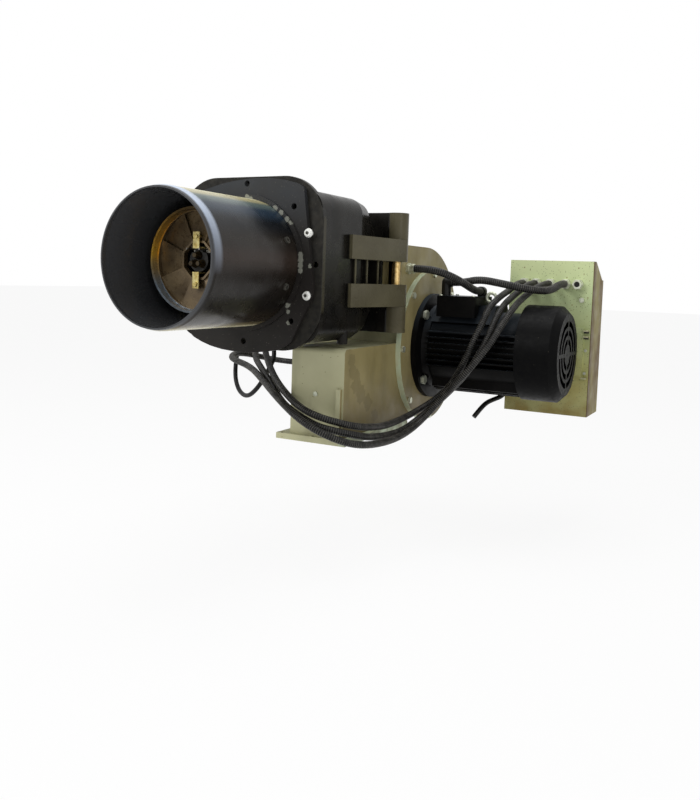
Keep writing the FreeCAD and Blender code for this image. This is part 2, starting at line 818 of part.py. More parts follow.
def make_hinge_frame():
    front = "rear_face + joint_gasket"
    plate = span(("rear_left - rear_lip", front, "-rear_half - rear_lip"),
                 ("rear_right + 8", front + " + frame_thick", "rear_half + rear_lip"))
    hole = span(("rear_left + casting_wall", front, "-rear_half + casting_wall"),
                ("rear_right - casting_wall", front + " + frame_thick",
                 "rear_half - 30"))
    solids = [plate]
    for level in knuckle_levels():
        solids.append(span(("rear_right - 60", front, level),
                           ("pin_across", front + " + frame_thick + 6",
                            "%s + knuckle_high" % level)))
        solids.append(rod("z", ("pin_across", "pin_back", level), "knuckle_radius",
                          "knuckle_high"))
    plate_room = rod("x", fan_point("scroll_right - running_gap"),
                     "plate_radius + running_gap", "plate_thick + 2 * running_gap")
    piece(cut(join(solids), [hole, plate_room] + pin_bore()), "hinge_frame")
    gasket = span(("rear_left - rear_lip", "rear_face + running_gap", "-rear_half - rear_lip"),
                  ("rear_right + 8", front, "rear_half + rear_lip"))
    opening = span(("rear_left + casting_wall", "rear_face", "-rear_half + casting_wall"),
                   ("rear_right - casting_wall", front, "rear_half - 30"))
    piece(cut(gasket, [opening]), "joint_gasket")


def knuckle_levels():
    return ["hinge_mid + arm_gap / 2 + arm_high + knuckle_gap",
            "hinge_mid - arm_gap / 2 - arm_high - knuckle_gap - knuckle_high"]


def make_hinge_pin():
    length = "arm_gap + 2 * (arm_high + knuckle_gap + knuckle_high)"
    piece(rod("z", ("pin_across", "pin_back", knuckle_levels()[1]), "pin_radius", length),
          "hinge_pin")


# Fan, motor and its plate

def fan_point(along):
    return along, "fan_back", "fan_height"


def make_motor_plate():
    plate = rod("x", fan_point("scroll_right"), "plate_radius", "plate_thick")
    spigot = rod("x", fan_point("scroll_right - sheet_wall"), "side_opening - running_gap",
                 "sheet_wall")
    bore = rod("x", fan_point("scroll_right - sheet_wall"), "60", "plate_thick + sheet_wall")
    holes = [rod("x", round_the("x", fan_point("scroll_right"), "plate_circle / 2", angle),
                 "4 + running_gap", "plate_thick") for angle in PLATE_ANGLES]
    holes += [rod("x", round_the("x", fan_point("scroll_right - sheet_wall"),
                                 "motor_circle / 2", angle), "6 + running_gap",
                  "plate_thick + sheet_wall") for angle in MOTOR_ANGLES]
    piece(cut(join([plate, spigot]), [bore] + holes), "motor_plate")


PLATE_ANGLES = [45 * step for step in range(8)]
MOTOR_ANGLES = [45, 135, 225, 315]


def make_plate_bolts():
    bolts = []
    for angle in PLATE_ANGLES:
        seat = round_the("x", fan_point("scroll_right + plate_thick"), "plate_circle / 2", angle)
        tail = round_the("x", fan_point("scroll_right + running_gap"), "plate_circle / 2", angle)
        bolts.append(join([hexagon("x", seat, "7.5", "5.5"),
                           rod("x", tail, "4", "plate_thick")]))
    piece(group(bolts), "plate_bolts")


def make_motor_bolts():
    bolts = []
    for angle in MOTOR_ANGLES:
        seat = round_the("x", fan_point("scroll_right + plate_thick + motor_flange_thick"),
                         "motor_circle / 2", angle)
        tail = round_the("x", fan_point("scroll_right + running_gap"), "motor_circle / 2", angle)
        bolts.append(join([hexagon("x", seat, "11", "8"),
                           rod("x", tail, "6", "plate_thick + motor_flange_thick")]))
    piece(group(bolts), "motor_bolts")


def motor_x(offset):
    return "scroll_right + plate_thick + (%s)" % offset


def make_motor_frame():
    shield = body("front_shield_body", fan_point(motor_x("0")))
    corners = [
        ("0", "shaft_radius + 12"), ("0", "motor_flange_radius"),
        ("motor_flange_thick", "motor_flange_radius"),
        ("motor_flange_thick + 3", "fin_radius - 6"),
        ("frame_start", "frame_radius + 4"), ("frame_start", "bore_radius"),
        ("motor_flange_thick", "bore_radius - 8"), ("motor_flange_thick", "shaft_radius + 12"),
    ]
    revolve(shield, outline(shield, "XY_Plane", corners), "H_Axis")
    holes = [rod("x", round_the("x", fan_point(motor_x("0")), "motor_circle / 2", angle),
                 "6 + running_gap", "motor_flange_thick") for angle in MOTOR_ANGLES]
    holes += [rod("x", round_the("x", fan_point(motor_x("motor_flange_thick")),
                                 "motor_circle / 2", angle), "14", "12")
              for angle in MOTOR_ANGLES]
    piece(cut(shield, holes), "motor_front_shield")
    start = fan_point(motor_x("frame_start"))
    shell = rod("x", start, "frame_radius", "frame_length")
    bore = rod("x", start, "bore_radius", "frame_length")
    limit = rod("x", start, "fin_radius", "frame_length")
    fins = common(join(frame_fins()), limit)
    shoulder = common(span((motor_x("frame_start"), "fan_back - fin_radius", "fan_height"),
                           (motor_x("frame_start + 150"), "fan_back + fin_radius",
                            "fan_height + fin_radius + 6")), shoulder_block())
    piece(cut(join([shell, fins, shoulder]), [bore]), "motor_frame")


def shoulder_block():
    """The smooth pad under the terminal box, with sloping sides."""
    pad_body = body("shoulder_body", fan_point(motor_x("frame_start")))
    corners = [
        ("-78", "62"), ("-58", "fin_radius - 26"), ("-40", "fin_radius - 2"),
        ("40", "fin_radius - 2"), ("58", "fin_radius - 26"), ("78", "62"),
        ("50", "50"), ("-50", "50"),
    ]
    pad(pad_body, outline(pad_body, "YZ_Plane", corners), "146")
    return pad_body


def frame_fins():
    fins = []
    depth = "2 * fin_radius + 2"
    for step in range(-3, 4):
        level = "fan_height + %g - 1.5" % (step * 13)
        fins.append(box((motor_x("frame_start"), "fan_back - fin_radius - 1", level),
                        ("frame_length", depth, "3")))
    for step in range(-4, 5):
        along = "fan_back + %g - 1.5" % (step * 13)
        fins.append(box((motor_x("frame_start"), along, "fan_height - fin_radius - 1"),
                        ("frame_length", "3", "fin_radius")))
    return fins


def make_motor_rear():
    start = motor_x("frame_start + frame_length")
    disc = rod("x", fan_point(start), "cowl_radius - 2 - running_gap", "10")
    nose = rod("x", fan_point(motor_x("frame_start + frame_length + 10")), "34", "8")
    hole = rod("x", fan_point(start), "shaft_radius + bush_gap", "18")
    piece(cut(join([disc, nose]), [hole]), "motor_rear_shield")
    piece(hollow_rod("x", fan_point(motor_x("frame_start + 46")), "bore_radius", "55",
                     "frame_length - 92"), "motor_stator")


def make_fan_cowl():
    cowl = body("cowl_body", fan_point(motor_x("frame_start + frame_length - cowl_overlap")))
    corners = [
        ("0", "cowl_radius"), ("cowl_length - cowl_bevel", "cowl_radius"),
        ("cowl_length", "cowl_radius - cowl_bevel"), ("cowl_length", "0"),
        ("cowl_length - 2", "0"), ("cowl_length - 2", "cowl_radius - cowl_bevel - 1"),
        ("cowl_length - cowl_bevel - 1", "cowl_radius - 2"), ("0", "cowl_radius - 2"),
    ]
    revolve(cowl, outline(cowl, "XY_Plane", corners), "H_Axis")
    end = motor_x("frame_start + frame_length - cowl_overlap + cowl_length - 2")
    rings = []
    for inner in (24, 44, 64):
        rings.append(hollow_rod("x", fan_point(end), "%d + 12" % inner, "%d" % inner, "2"))
    spokes = [span((end, "fan_back - 4", "fan_height - 90"), (end + " + 2", "fan_back + 4",
                                                              "fan_height + 90")),
              span((end, "fan_back - 90", "fan_height - 4"), (end + " + 2", "fan_back + 90",
                                                              "fan_height + 4"))]
    grille = cut(join(rings), spokes)
    piece(cut(cowl, [grille]), "fan_cowl")


def box_point(across, along, up):
    """A point from the motor plate's face, the fan's axis and the top of the terminal box."""
    return motor_x(across), "fan_back + %s" % along, "fan_height + fin_radius + 13 + %s" % up


def make_terminal_box():
    low, high = box_point("45", "-86", "-43"), box_point("137", "34", "0")
    shell = span(low, high)
    room = span(box_point("48", "-83", "-9"), box_point("134", "31", "0"))
    under = rod("x", fan_point(motor_x("40")), "fin_radius + running_gap", "140")
    piece(cut(shell, [room, under, shoulder_clear()]), "terminal_box")
    spots = [(across, along) for across in ("52", "130") for along in ("-79", "27")]
    holes = [rod("z", box_point(across, along, "0"), "2 + running_gap", "lid_thick")
             for across, along in spots]
    lid = span(box_point("45", "-86", "0"), box_point("137", "34", "lid_thick"))
    piece(cut(lid, holes), "terminal_lid")
    screws = [join([rod("z", box_point(across, along, "lid_thick"), "4", "2.5"),
                    rod("z", box_point(across, along, "0.5"), "2", "lid_thick")])
              for across, along in spots]
    screws.append(rod("y", ("115", "duct_front - 3 - running_gap", "-260"), "5", "3"))
    screws.append(rod("y", ("panel_left + 177", "panel_front - 3 - running_gap", "-57"), "6",
                      "3"))
    piece(group(screws), "cover_screws")


def shoulder_clear():
    return span((motor_x("40"), "fan_back - 60", "fan_height"),
                (motor_x("180"), "fan_back + 60", "fan_height + fin_radius - 2"))


def make_lifting_eye():
    across = motor_x("152.5")
    foot = rod("z", (across, "fan_back - 16", "fan_height + fin_radius - 2 + running_gap"),
               "9", "10")
    ring = torus("y", (across, "fan_back - 16", "fan_height + fin_radius + 16"), "11", "4")
    piece(join([foot, ring]), "lifting_eye")


def make_rotor():
    start = "scroll_left - 20"
    shaft = rod("x", fan_point(start), "shaft_radius",
                "scroll_right - scroll_left + plate_thick + frame_start + frame_length + 66")
    piece(shaft, "rotor_shaft")
    piece(hollow_rod("x", fan_point(motor_x("frame_start + 50")), "54.4",
                     "shaft_radius", "frame_length - 100"), "rotor_core")
    fan_start = motor_x("frame_start + frame_length + 24")
    hub = hollow_rod("x", fan_point(fan_start), "24", "shaft_radius", "20")
    blades = [fan_blade(fan_start, step) for step in range(7)]
    piece(join([hub] + blades), "cooling_fan")


def fan_blade(start, step):
    blade = doc.addObject("Part::Box", "blade")
    bind(blade, Length="24", Width="3", Height="72")
    angle = step * 360 / 7
    where = round_the("x", fan_point(start), "20", angle)
    return place(blade, where, Rotation(Vector(1, 0, 0), angle - 90))


def make_blower_wheel():
    """A forward-curved wheel: back plate, hub, curved blades and a shroud ring."""
    left = size("scroll_left") + size("sheet_wall") + 9
    width = size("wheel_width")
    radius = size("wheel_radius")
    centre = Vector(0, size("fan_back"), size("fan_height"))
    axis = Vector(1, 0, 0)
    back = Part.makeCylinder(radius, 3, centre + Vector(left + width - 3, 0, 0), axis)
    hub = Part.makeCylinder(30, 34, centre + Vector(left + width - 34, 0, 0), axis)
    ring = Part.makeCylinder(radius, 3, centre + Vector(left, 0, 0), axis).cut(
        Part.makeCylinder(radius - 24, 3, centre + Vector(left, 0, 0), axis))
    blade = blower_blade(left, width, radius)
    blades = []
    count = int(size("wheel_blades"))
    for step in range(count):
        turned = blade.copy()
        turned.rotate(centre, axis, 360 * step / count)
        blades.append(turned)
    whole = back.fuse([hub, ring] + blades)
    bore = Part.makeCylinder(size("shaft_radius"), width, centre + Vector(left, 0, 0), axis)
    piece(shaped("wheel", whole.cut(bore)), "blower_wheel")


def blower_blade(left, width, radius):
    """One blade: a thin curved strip between two arcs, as tall as the rim is deep."""
    y0, z0 = size("fan_back"), size("fan_height")
    thick = 2
    tip = Vector(0, y0 + radius - 1.5, z0)
    mid = Vector(0, y0 + radius - 11, z0 + 5)
    root = Vector(0, y0 + radius - 21, z0)
    outer = Part.Arc(tip, mid, root).toShape()
    shift = Vector(0, 0, thick)
    inner = Part.Arc(root + shift, mid + shift, tip + shift).toShape()
    return slab([outer, line(root, root + shift), inner, line(tip + shift, tip)],
                left + 1, left + width - 1)


def make_inlet_cone():
    cone = body("inlet_cone_body", fan_point("scroll_left - 3"))
    corners = [
        ("0", "eye_radius + 4"), ("3", "eye_radius + 4"), ("3", "eye_radius - 2"),
        ("14", "eye_radius - 6"), ("14", "eye_radius - 8"), ("0", "eye_radius - 4"),
    ]
    revolve(cone, outline(cone, "XY_Plane", corners), "H_Axis")
    piece(cone, "inlet_cone")


# Air intake box on the side away from the motor

def make_intake_box():
    floor = "(%s + base_thick)" % base_bottom()
    lower = span(("intake_left", "intake_front", floor),
                 ("scroll_left", "intake_back", "duct_top - 10"))
    upper = span(("intake_left", "fan_back - 102", floor),
                 ("scroll_left", "intake_back", "intake_top"))
    room_low = span(("intake_left + sheet_wall", "intake_front + sheet_wall",
                     floor + " + sheet_wall"),
                    ("scroll_left", "intake_back - sheet_wall", "duct_top - 10 - sheet_wall"))
    room_high = span(("intake_left + sheet_wall", "fan_back - 102 + sheet_wall",
                      floor + " + sheet_wall"),
                     ("scroll_left", "intake_back - sheet_wall", "intake_top - sheet_wall"))
    shaft_hole = rod("x", flap_point("intake_left"), "6 + bush_gap", "sheet_wall")
    pump_hole = rod("x", fan_point("intake_left"), "20 + running_gap", "sheet_wall")
    piece(cut(join([lower, upper]), [room_low, room_high, shaft_hole, pump_hole]),
          "intake_box")


def flap_point(along):
    return along, "flap_back", "flap_height"


def make_damper():
    shaft = rod("x", flap_point("intake_left - 20"), "6", "scroll_left - intake_left + 12")
    blade = span(("intake_left + 8", "flap_back - 2", "flap_height - flap_half"),
                 ("scroll_left - 12", "flap_back + 2", "flap_height + flap_half"))
    piece(join([shaft, blade]), "air_flap")


def make_servo():
    case = span(("intake_left - servo_deep", "flap_back - 24", "flap_height - 40"),
                ("intake_left", "flap_back + 62", "flap_height + 52"))
    socket = rod("x", flap_point("intake_left - 21"), "6 + bush_gap", "21")
    piece(cut(case, [socket]), "servo_motor")


def make_pump():
    flange = rod("x", fan_point("intake_left - 10"), "40", "10")
    case = rod("x", fan_point("intake_left - 70"), "36", "60")
    nose = rod("x", fan_point("intake_left"), "20", "16")
    hole = rod("x", fan_point("intake_left - 4"), "6 + bush_gap", "30")
    piece(cut(join([flange, case, nose]), [hole]), "oil_pump")
    valves = []
    for along in ("fan_back - 16", "fan_back + 22"):
        stem = rod("z", ("intake_left - 42", along, "fan_height + 20"), "9", "30")
        coil = rod("z", ("intake_left - 42", along, "fan_height + 42"), "17", "42")
        valves.append(cut(join([stem, coil]),
                          [rod("x", fan_point("intake_left - 80"), "36.2", "80")]))
    piece(group(valves), "solenoid_valves")
    drive = rod("x", fan_point("intake_left - 2"), "6", "scroll_left - 40 - intake_left + 4")
    sleeve = rod("x", fan_point("scroll_left - 40"), "18", "20")
    piece(join([drive, sleeve]), "pump_coupling")


def make_transformer():
    low = ("intake_left + 6", "fan_back - 60", "intake_top")
    high = ("scroll_left - 10", "fan_back + 70", "intake_top + 84")
    piece(span(low, high), "ignition_transformer")


def gland(axis, seat, facing, radius="gland_radius"):
    """A cable gland on a wall: a nut, a cap and a mouth, facing along or against an axis."""
    step = "xyz".index(axis)
    nut_long, long = "7", "gland_long"
    parts = []
    for start, length, wide in (("0", nut_long, radius), (nut_long, "%s - 7" % long,
                                                          radius + " - 2")):
        spot = list(seat)
        if facing > 0:
            spot[step] = "%s + %s" % (seat[step], start)
        else:
            spot[step] = "%s - %s - (%s)" % (seat[step], start, length)
        parts.append(hexagon(axis, spot, wide, length))
    return join(parts)


def make_device_glands():
    glands = [
        gland("x", ("intake_left + 6", "fan_back + 30", "intake_top + 40"), -1),
        gland("x", ("intake_left + 6", "fan_back - 16", "intake_top + 40"), -1),
        gland("y", ("intake_left - 42", "fan_back - 33", "fan_height + 66"), -1, "11"),
        gland("x", ("intake_left - servo_deep", "flap_back + 10", "flap_height + 22"), -1, "12"),
        gland("z", ("intake_left - 34", "flap_back + 36", "flap_height + 52"), 1, "12"),
        gland("x", ("scroll_right", "385", "3"), 1),
    ]
    piece(group(glands), "device_glands")


def make_elbows():
    """The two black elbows that turn the motor's hoses down into its terminal box."""
    elbows = []
    for across, along, rise, axis in (("55", "-55", "36", "x"), ELBOW_BACK):
        foot = rod("z", box_point(across, along, "lid_thick"), "11", "%s - lid_thick" % rise)
        middle = box_point(across, along, rise)
        if axis == "x":
            socket = rod("x", middle, "11", "15 - running_gap")
        else:
            mouth = box_point(across, along + " - 15 + running_gap", rise)
            socket = rod("y", mouth, "11", "15 - running_gap")
        elbows.append(join([foot, dome(middle, "11"), socket]))
    piece(group(elbows), "terminal_elbows")


ELBOW_BACK = ("121", "9", "17.5", "y")


# Control panel

def cabinet_profile(front, back, inset):
    """Side view of the cabinet, as depth and height: its top slopes down to the back."""
    top = "panel_bottom + panel_high - %s" % inset
    return [(front, "panel_bottom + %s" % inset), (back, "panel_bottom + %s" % inset),
            (back, "%s - panel_slope" % top), ("%s + 22" % front, top), (front, top)]


DOOR_HINGES = ["panel_bottom + 40", "panel_bottom + panel_high - panel_slope - 64"]


def cabinet_hinges():
    """A leaf with a pin at each of the door's two hinges."""
    hinges = []
    back = "panel_front + panel_deep"
    for level in DOOR_HINGES:
        spot = ("panel_left - 5", back + " + 7", "%s - 12" % level)
        leaf = span(("panel_left - 2", back + " - 24", "%s - 12" % level),
                    ("panel_left", back + " + 7", "%s - 0.5" % level))
        hinges += [rod("z", spot, "1.5", "36"), rod("z", spot, "4", "11.5"), leaf]
    return hinges


def make_panel():
    case = body("cabinet", ("panel_left", "0", "0"))
    pad(case, outline(case, "YZ_Plane",
                      cabinet_profile("panel_front", "panel_front + panel_deep", "0")),
        "panel_wide")
    room = body("cabinet_room", ("panel_left + panel_wall", "0", "0"))
    pad(room, outline(room, "YZ_Plane",
                      cabinet_profile("panel_front + panel_wall", "panel_front + panel_deep",
                                      "panel_wall")),
        "panel_wide - 2 * panel_wall")
    holes = [rod("y", (across, "panel_front", GLAND_LEVEL), "7.5 + running_gap", "panel_wall")
             for across in GLAND_PLACES]
    piece(join([cut(case, [room] + holes)] + cabinet_hinges()), "panel_box")
    arm = span((motor_x("6"), "panel_front - 7", "fan_height - 60"),
               ("panel_left + panel_wide - 16", "panel_front", "fan_height + 58"))
    foot = span((motor_x("0"), "panel_front - 7", "fan_height - 60"),
                (motor_x("6"), "fan_back + plate_radius - 26", "fan_height + 58"))
    shield_room = rod("x", fan_point(motor_x("-1")), "motor_flange_radius + running_gap", "20")
    bolt_room = rod("x", round_the("x", fan_point(motor_x("-1")), "plate_circle / 2", 0),
                    "9", "20")
    piece(cut(join([arm, foot]), [shield_room, bolt_room]), "panel_bracket")
    back = "panel_front + panel_deep"
    top = "panel_bottom + panel_high - panel_slope"
    skin = span(("panel_left", back + " + running_gap", "panel_bottom"),
                ("panel_left + panel_wide", back + " + door_thick", top))
    hollow = span(("panel_left + panel_wall", back + " + running_gap",
                   "panel_bottom + panel_wall"),
                  ("panel_left + panel_wide - panel_wall", back + " + door_thick - 2",
                   top + " - panel_wall"))
    barrels = [rod("z", ("panel_left - 5", back + " + 7", level), "4", "24")
               for level in DOOR_HINGES]
    lock = rod("y", ("panel_left + panel_wide - 20", back + " + door_thick - 3",
                     "panel_bottom + 160"), "9", "8")
    leaves = [span(("panel_left - 3", back + " + 4", level),
                   ("panel_left + 1", back + " + 10", "%s + 24" % level))
              for level in DOOR_HINGES]
    pins = [rod("z", ("panel_left - 5", back + " + 7", "%s - 16" % level),
                "1.5 + bush_gap", "60") for level in DOOR_HINGES]
    piece(cut(join([skin] + barrels + leaves + [lock]), [hollow] + pins), "panel_door")


GLAND_PLACES = ["panel_left + 38", "panel_left + 67", "panel_left + 101", "panel_left + 137",
                "panel_left + 167"]
GLAND_LEVEL = "panel_bottom + panel_high - 55"


def make_panel_glands():
    glands = []
    for across in GLAND_PLACES:
        nut = hexagon("y", (across, "panel_front - 7", GLAND_LEVEL), "13", "7")
        cap = hexagon("y", (across, "panel_front - 18", GLAND_LEVEL), "11.5", "11.5")
        thread = rod("y", (across, "panel_front - 1", GLAND_LEVEL), "7.5", "12")
        glands.append(join([nut, cap, thread]))
    piece(group(glands), "panel_glands")


# Hoses and cables

ROUTES = {
    "terminal_hose": ("hose_radius", [
        (480, 621.7, -20), (480, 585, -20), (471, 532.4, -37.6), (437, 485.4, -36),
        (384, 462.4, -25), (325, 465, -15.7), (285, 461, -25), (261, 461, -25)]),
    "blower_hose": ("hose_radius", [
        (197.3, 385, 3), (226.5, 385, 3), (255, 392.3, -2.1), (280.5, 407, -12.5),
        (298.9, 428.2, -25.6), (309.3, 455.2, -37.3), (312, 485.5, -43.5), (312, 510, -43.5)]),
    "conduit_one": ("conduit_radius", [
        (381, 621.7, -20), (381, 584, -20), (377, 522, -40), (376, 458, -54), (363, 425, -78),
        (359, 400, -110), (346, 384, -148), (330, 376, -197), (295, 394, -253), (263, 387, -288),
        (230, 353, -316), (215, 294, -330), (218, 212, -331), (216, 141, -324), (207, 97, -317),
        (184, 68, -308), (153, 48, -298), (113, 44, -285), (57, 70, -261), (-24, 154, -244),
        (-90, 224, -216), (-125, 263, -189), (-143, 302, -151), (-181, 340, -74), (-203, 403, -54),
        (-183, 467, -50), (-131, 500, -50), (-78, 500, -50)]),
    "conduit_two": ("conduit_radius", [
        (410, 621.7, -20), (410, 574, -20), (391, 506, -53), (390, 446, -71), (382, 414, -104),
        (377, 390, -141), (359, 378, -184), (337, 368, -225), (304, 373, -261), (270, 366, -298),
        (242, 338, -329), (226, 289, -351), (221, 216, -352), (221, 134, -343), (211, 89, -333),
        (185, 60, -324), (149, 46, -316), (108, 50, -302), (47, 78, -285), (-26, 151, -261),
        (-103, 226, -241), (-178, 294, -213), (-180, 346, -162), (-128, 380, -125),
        (-108, 421, -113), (-108, 464.7, -113)]),
    "conduit_three": ("conduit_radius", [
        (444, 621.7, -20), (444, 564, -20), (418, 483, -57), (413, 428, -84), (402, 402, -114),
        (388, 374, -153), (367, 361, -186), (348, 348, -215), (322, 347, -244), (287, 352, -283),
        (255, 324, -330), (243, 267, -352), (239, 194, -358), (232, 121, -355), (218, 76, -349),
        (197, 45, -338), (163, 26, -322), (120, 28, -304), (72, 47, -283), (12, 89, -263),
        (-60, 160, -251), (-148, 240, -236), (-223, 271, -227), (-250, 309, -221),
        (-255, 355, -220), (-234, 403, -230), (-191, 430, -240), (-140.3, 430, -240)]),
    "loop_cable": ("cable_radius", [
        (-78, 546, -50), (-118, 546, -50), (-172, 528, -66), (-222, 463, -113),
        (-264, 357, -190), (-275, 355, -270), (-250, 337, -312), (-201, 307, -323),
        (-158, 289, -294), (-136, 298, -252), (-138, 337, -210), (-179, 334, -116),
        (-187, 398, -75), (-144, 457, -90), (-100, 456, -150), (-100, 456, -191.7)]),
    "panel_cable": ("cable_radius", [
        (365, 639.7, -270), (365, 604, -270), (361, 566, -293), (346, 539, -300), (339, 508, -305),
        (330, 486, -321), (322, 475, -336)]),
}


def rounded_path(points):
    """Straight runs joined by tangent arcs, each as large as its two runs allow."""
    spots = [Vector(*point) for point in points]
    edges = []
    radii = []
    start = spots[0]
    for before, corner, after in zip(spots, spots[1:], spots[2:]):
        back, ahead = before - corner, after - corner
        reach = 0.45 * min(back.Length, ahead.Length)
        back.normalize()
        ahead.normalize()
        half_turn = (math.pi - back.getAngle(ahead)) / 2
        radius = reach / math.tan(half_turn)
        first, last = corner + back * reach, corner + ahead * reach
        centre_way = (back + ahead).normalize()
        centre = corner + centre_way * (radius / math.cos(half_turn))
        edges += [line(start, first),
                  Part.Arc(first, centre - centre_way * radius, last).toShape()]
        radii.append(radius)
        start = last
    edges.append(line(start, spots[-1]))
    return Part.Wire(edges), min(radii)


def make_cords():
    for name, (radius_word, points) in ROUTES.items():
        radius = size(radius_word)
        path, tightest = rounded_path(points)
        start = Vector(*points[0])
        section = Part.Wire(Part.makeCircle(radius, start, Vector(*points[1]) - start))
        tube = path.makePipeShell([section], True, False)
        ideal = math.pi * radius * radius * path.Length
        print("%-16s length %.0f tightest radius %.0f (%.1f diameters) volume %.4f of ideal"
              % (name, path.Length, tightest, tightest / (2 * radius), tube.Volume / ideal))
        piece(shaped(name + "_tube", tube), name)


def main():
    make_mounting_flange()
    make_flame_tube()
    make_tube_screws()
    make_flange_gasket()
    make_casting_screws()
    make_head_casting()
    make_sight_port()
    make_diffuser()
    make_lance()
    make_electrodes()
    make_scroll_housing()
    make_base_flange()
    make_outlet_box()
    make_hinge_frame()
    make_hinge_pin()
    make_motor_plate()
    make_plate_bolts()
    make_motor_bolts()
    make_motor_frame()
    make_motor_rear()
    make_fan_cowl()
    make_terminal_box()
    make_lifting_eye()
    make_rotor()
    make_blower_wheel()
    make_inlet_cone()
    make_intake_box()
    make_damper()
    make_servo()
    make_pump()
    make_transformer()
    make_panel()
    make_panel_glands()
    make_device_glands()
    make_elbows()
    make_cords()
    save()


def save():
    doc.recompute()
    for thing in doc.Objects:
        if "Invalid" in thing.State or "Error" in thing.State:
            raise RuntimeError("%s (%s) did not build" % (thing.Name, thing.Label))
    os.makedirs("parts", exist_ok=True)
    for thing in pieces:
        shape = thing.Shape
        if shape.isNull() or not shape.isValid():
            raise RuntimeError("%s is not a valid shape" % thing.Label)
        shape.exportStep("parts/%s.step" % thing.Label)
        print("%-24s solids %d volume %.0f" % (thing.Label, len(shape.Solids), shape.Volume))


main()
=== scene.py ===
import bpy
import json
import math
from mathutils import Matrix, Vector


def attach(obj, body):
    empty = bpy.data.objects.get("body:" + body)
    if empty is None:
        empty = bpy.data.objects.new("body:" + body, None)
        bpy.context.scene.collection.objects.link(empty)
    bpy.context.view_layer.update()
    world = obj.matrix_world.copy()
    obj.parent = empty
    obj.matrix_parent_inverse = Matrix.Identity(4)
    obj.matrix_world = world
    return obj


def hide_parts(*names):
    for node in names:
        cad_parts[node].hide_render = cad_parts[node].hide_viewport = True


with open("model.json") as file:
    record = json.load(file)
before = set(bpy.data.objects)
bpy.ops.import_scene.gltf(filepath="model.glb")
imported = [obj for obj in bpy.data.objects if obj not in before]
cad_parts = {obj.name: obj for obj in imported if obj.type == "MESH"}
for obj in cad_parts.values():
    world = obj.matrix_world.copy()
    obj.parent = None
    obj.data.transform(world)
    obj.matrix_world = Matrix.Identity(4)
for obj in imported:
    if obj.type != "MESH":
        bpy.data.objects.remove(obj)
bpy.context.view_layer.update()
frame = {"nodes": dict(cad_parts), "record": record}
nodes = frame["nodes"]
scene = bpy.context.scene

# Sizes and places are written in millimetres in the burner's own frame: the middle of the
# boiler flange, the flame towards -Y, the motor towards +X.
MM = 0.001

# The photograph's viewpoint, worked out from the flange, the duct and the motor: the camera's
# place, its turns in radians, and the focal length and the lens's middle in the picture's pixels.
CAMERA_PLACE = (951.3, -1348.7, -21.7)
CAMERA_ACROSS, CAMERA_PITCH, CAMERA_ROLL = 0.48392, 0.07121, 0.03425
PICTURE_WIDE, PICTURE_HIGH = 700, 800
FOCAL_PIXELS = 826.1
LENS_MIDDLE = (351.4, 336.4)
SENSOR = 36


def place_camera():
    """The camera at the photograph's viewpoint. The sensor spans the picture's longer side."""
    ahead = Vector((-math.sin(CAMERA_ACROSS) * math.cos(CAMERA_PITCH),
                    math.cos(CAMERA_ACROSS) * math.cos(CAMERA_PITCH), -math.sin(CAMERA_PITCH)))
    right = Vector((math.cos(CAMERA_ACROSS), math.sin(CAMERA_ACROSS), 0))
    up = right.cross(ahead)
    right, up = (right * math.cos(CAMERA_ROLL) + up * math.sin(CAMERA_ROLL),
                 up * math.cos(CAMERA_ROLL) - right * math.sin(CAMERA_ROLL))
    data = bpy.data.cameras.new("camera")
    data.sensor_width = SENSOR
    data.lens = FOCAL_PIXELS * SENSOR / PICTURE_HIGH
    data.shift_x = (PICTURE_WIDE / 2 - LENS_MIDDLE[0]) / PICTURE_HIGH
    data.shift_y = (LENS_MIDDLE[1] - PICTURE_HIGH / 2) / PICTURE_HIGH
    data.clip_end = 30
    camera = bpy.data.objects.new("camera", data)
    scene.collection.objects.link(camera)
    turn = Matrix((right, up, -ahead)).transposed().to_4x4()
    camera.matrix_world = Matrix.Translation(Vector(CAMERA_PLACE) * MM) @ turn
    scene.camera = camera


place_camera()

# Cords

CONDUIT_RADIUS = 7
HOSE_RADIUS = 8.5
CABLE_RADIUS = 5.5
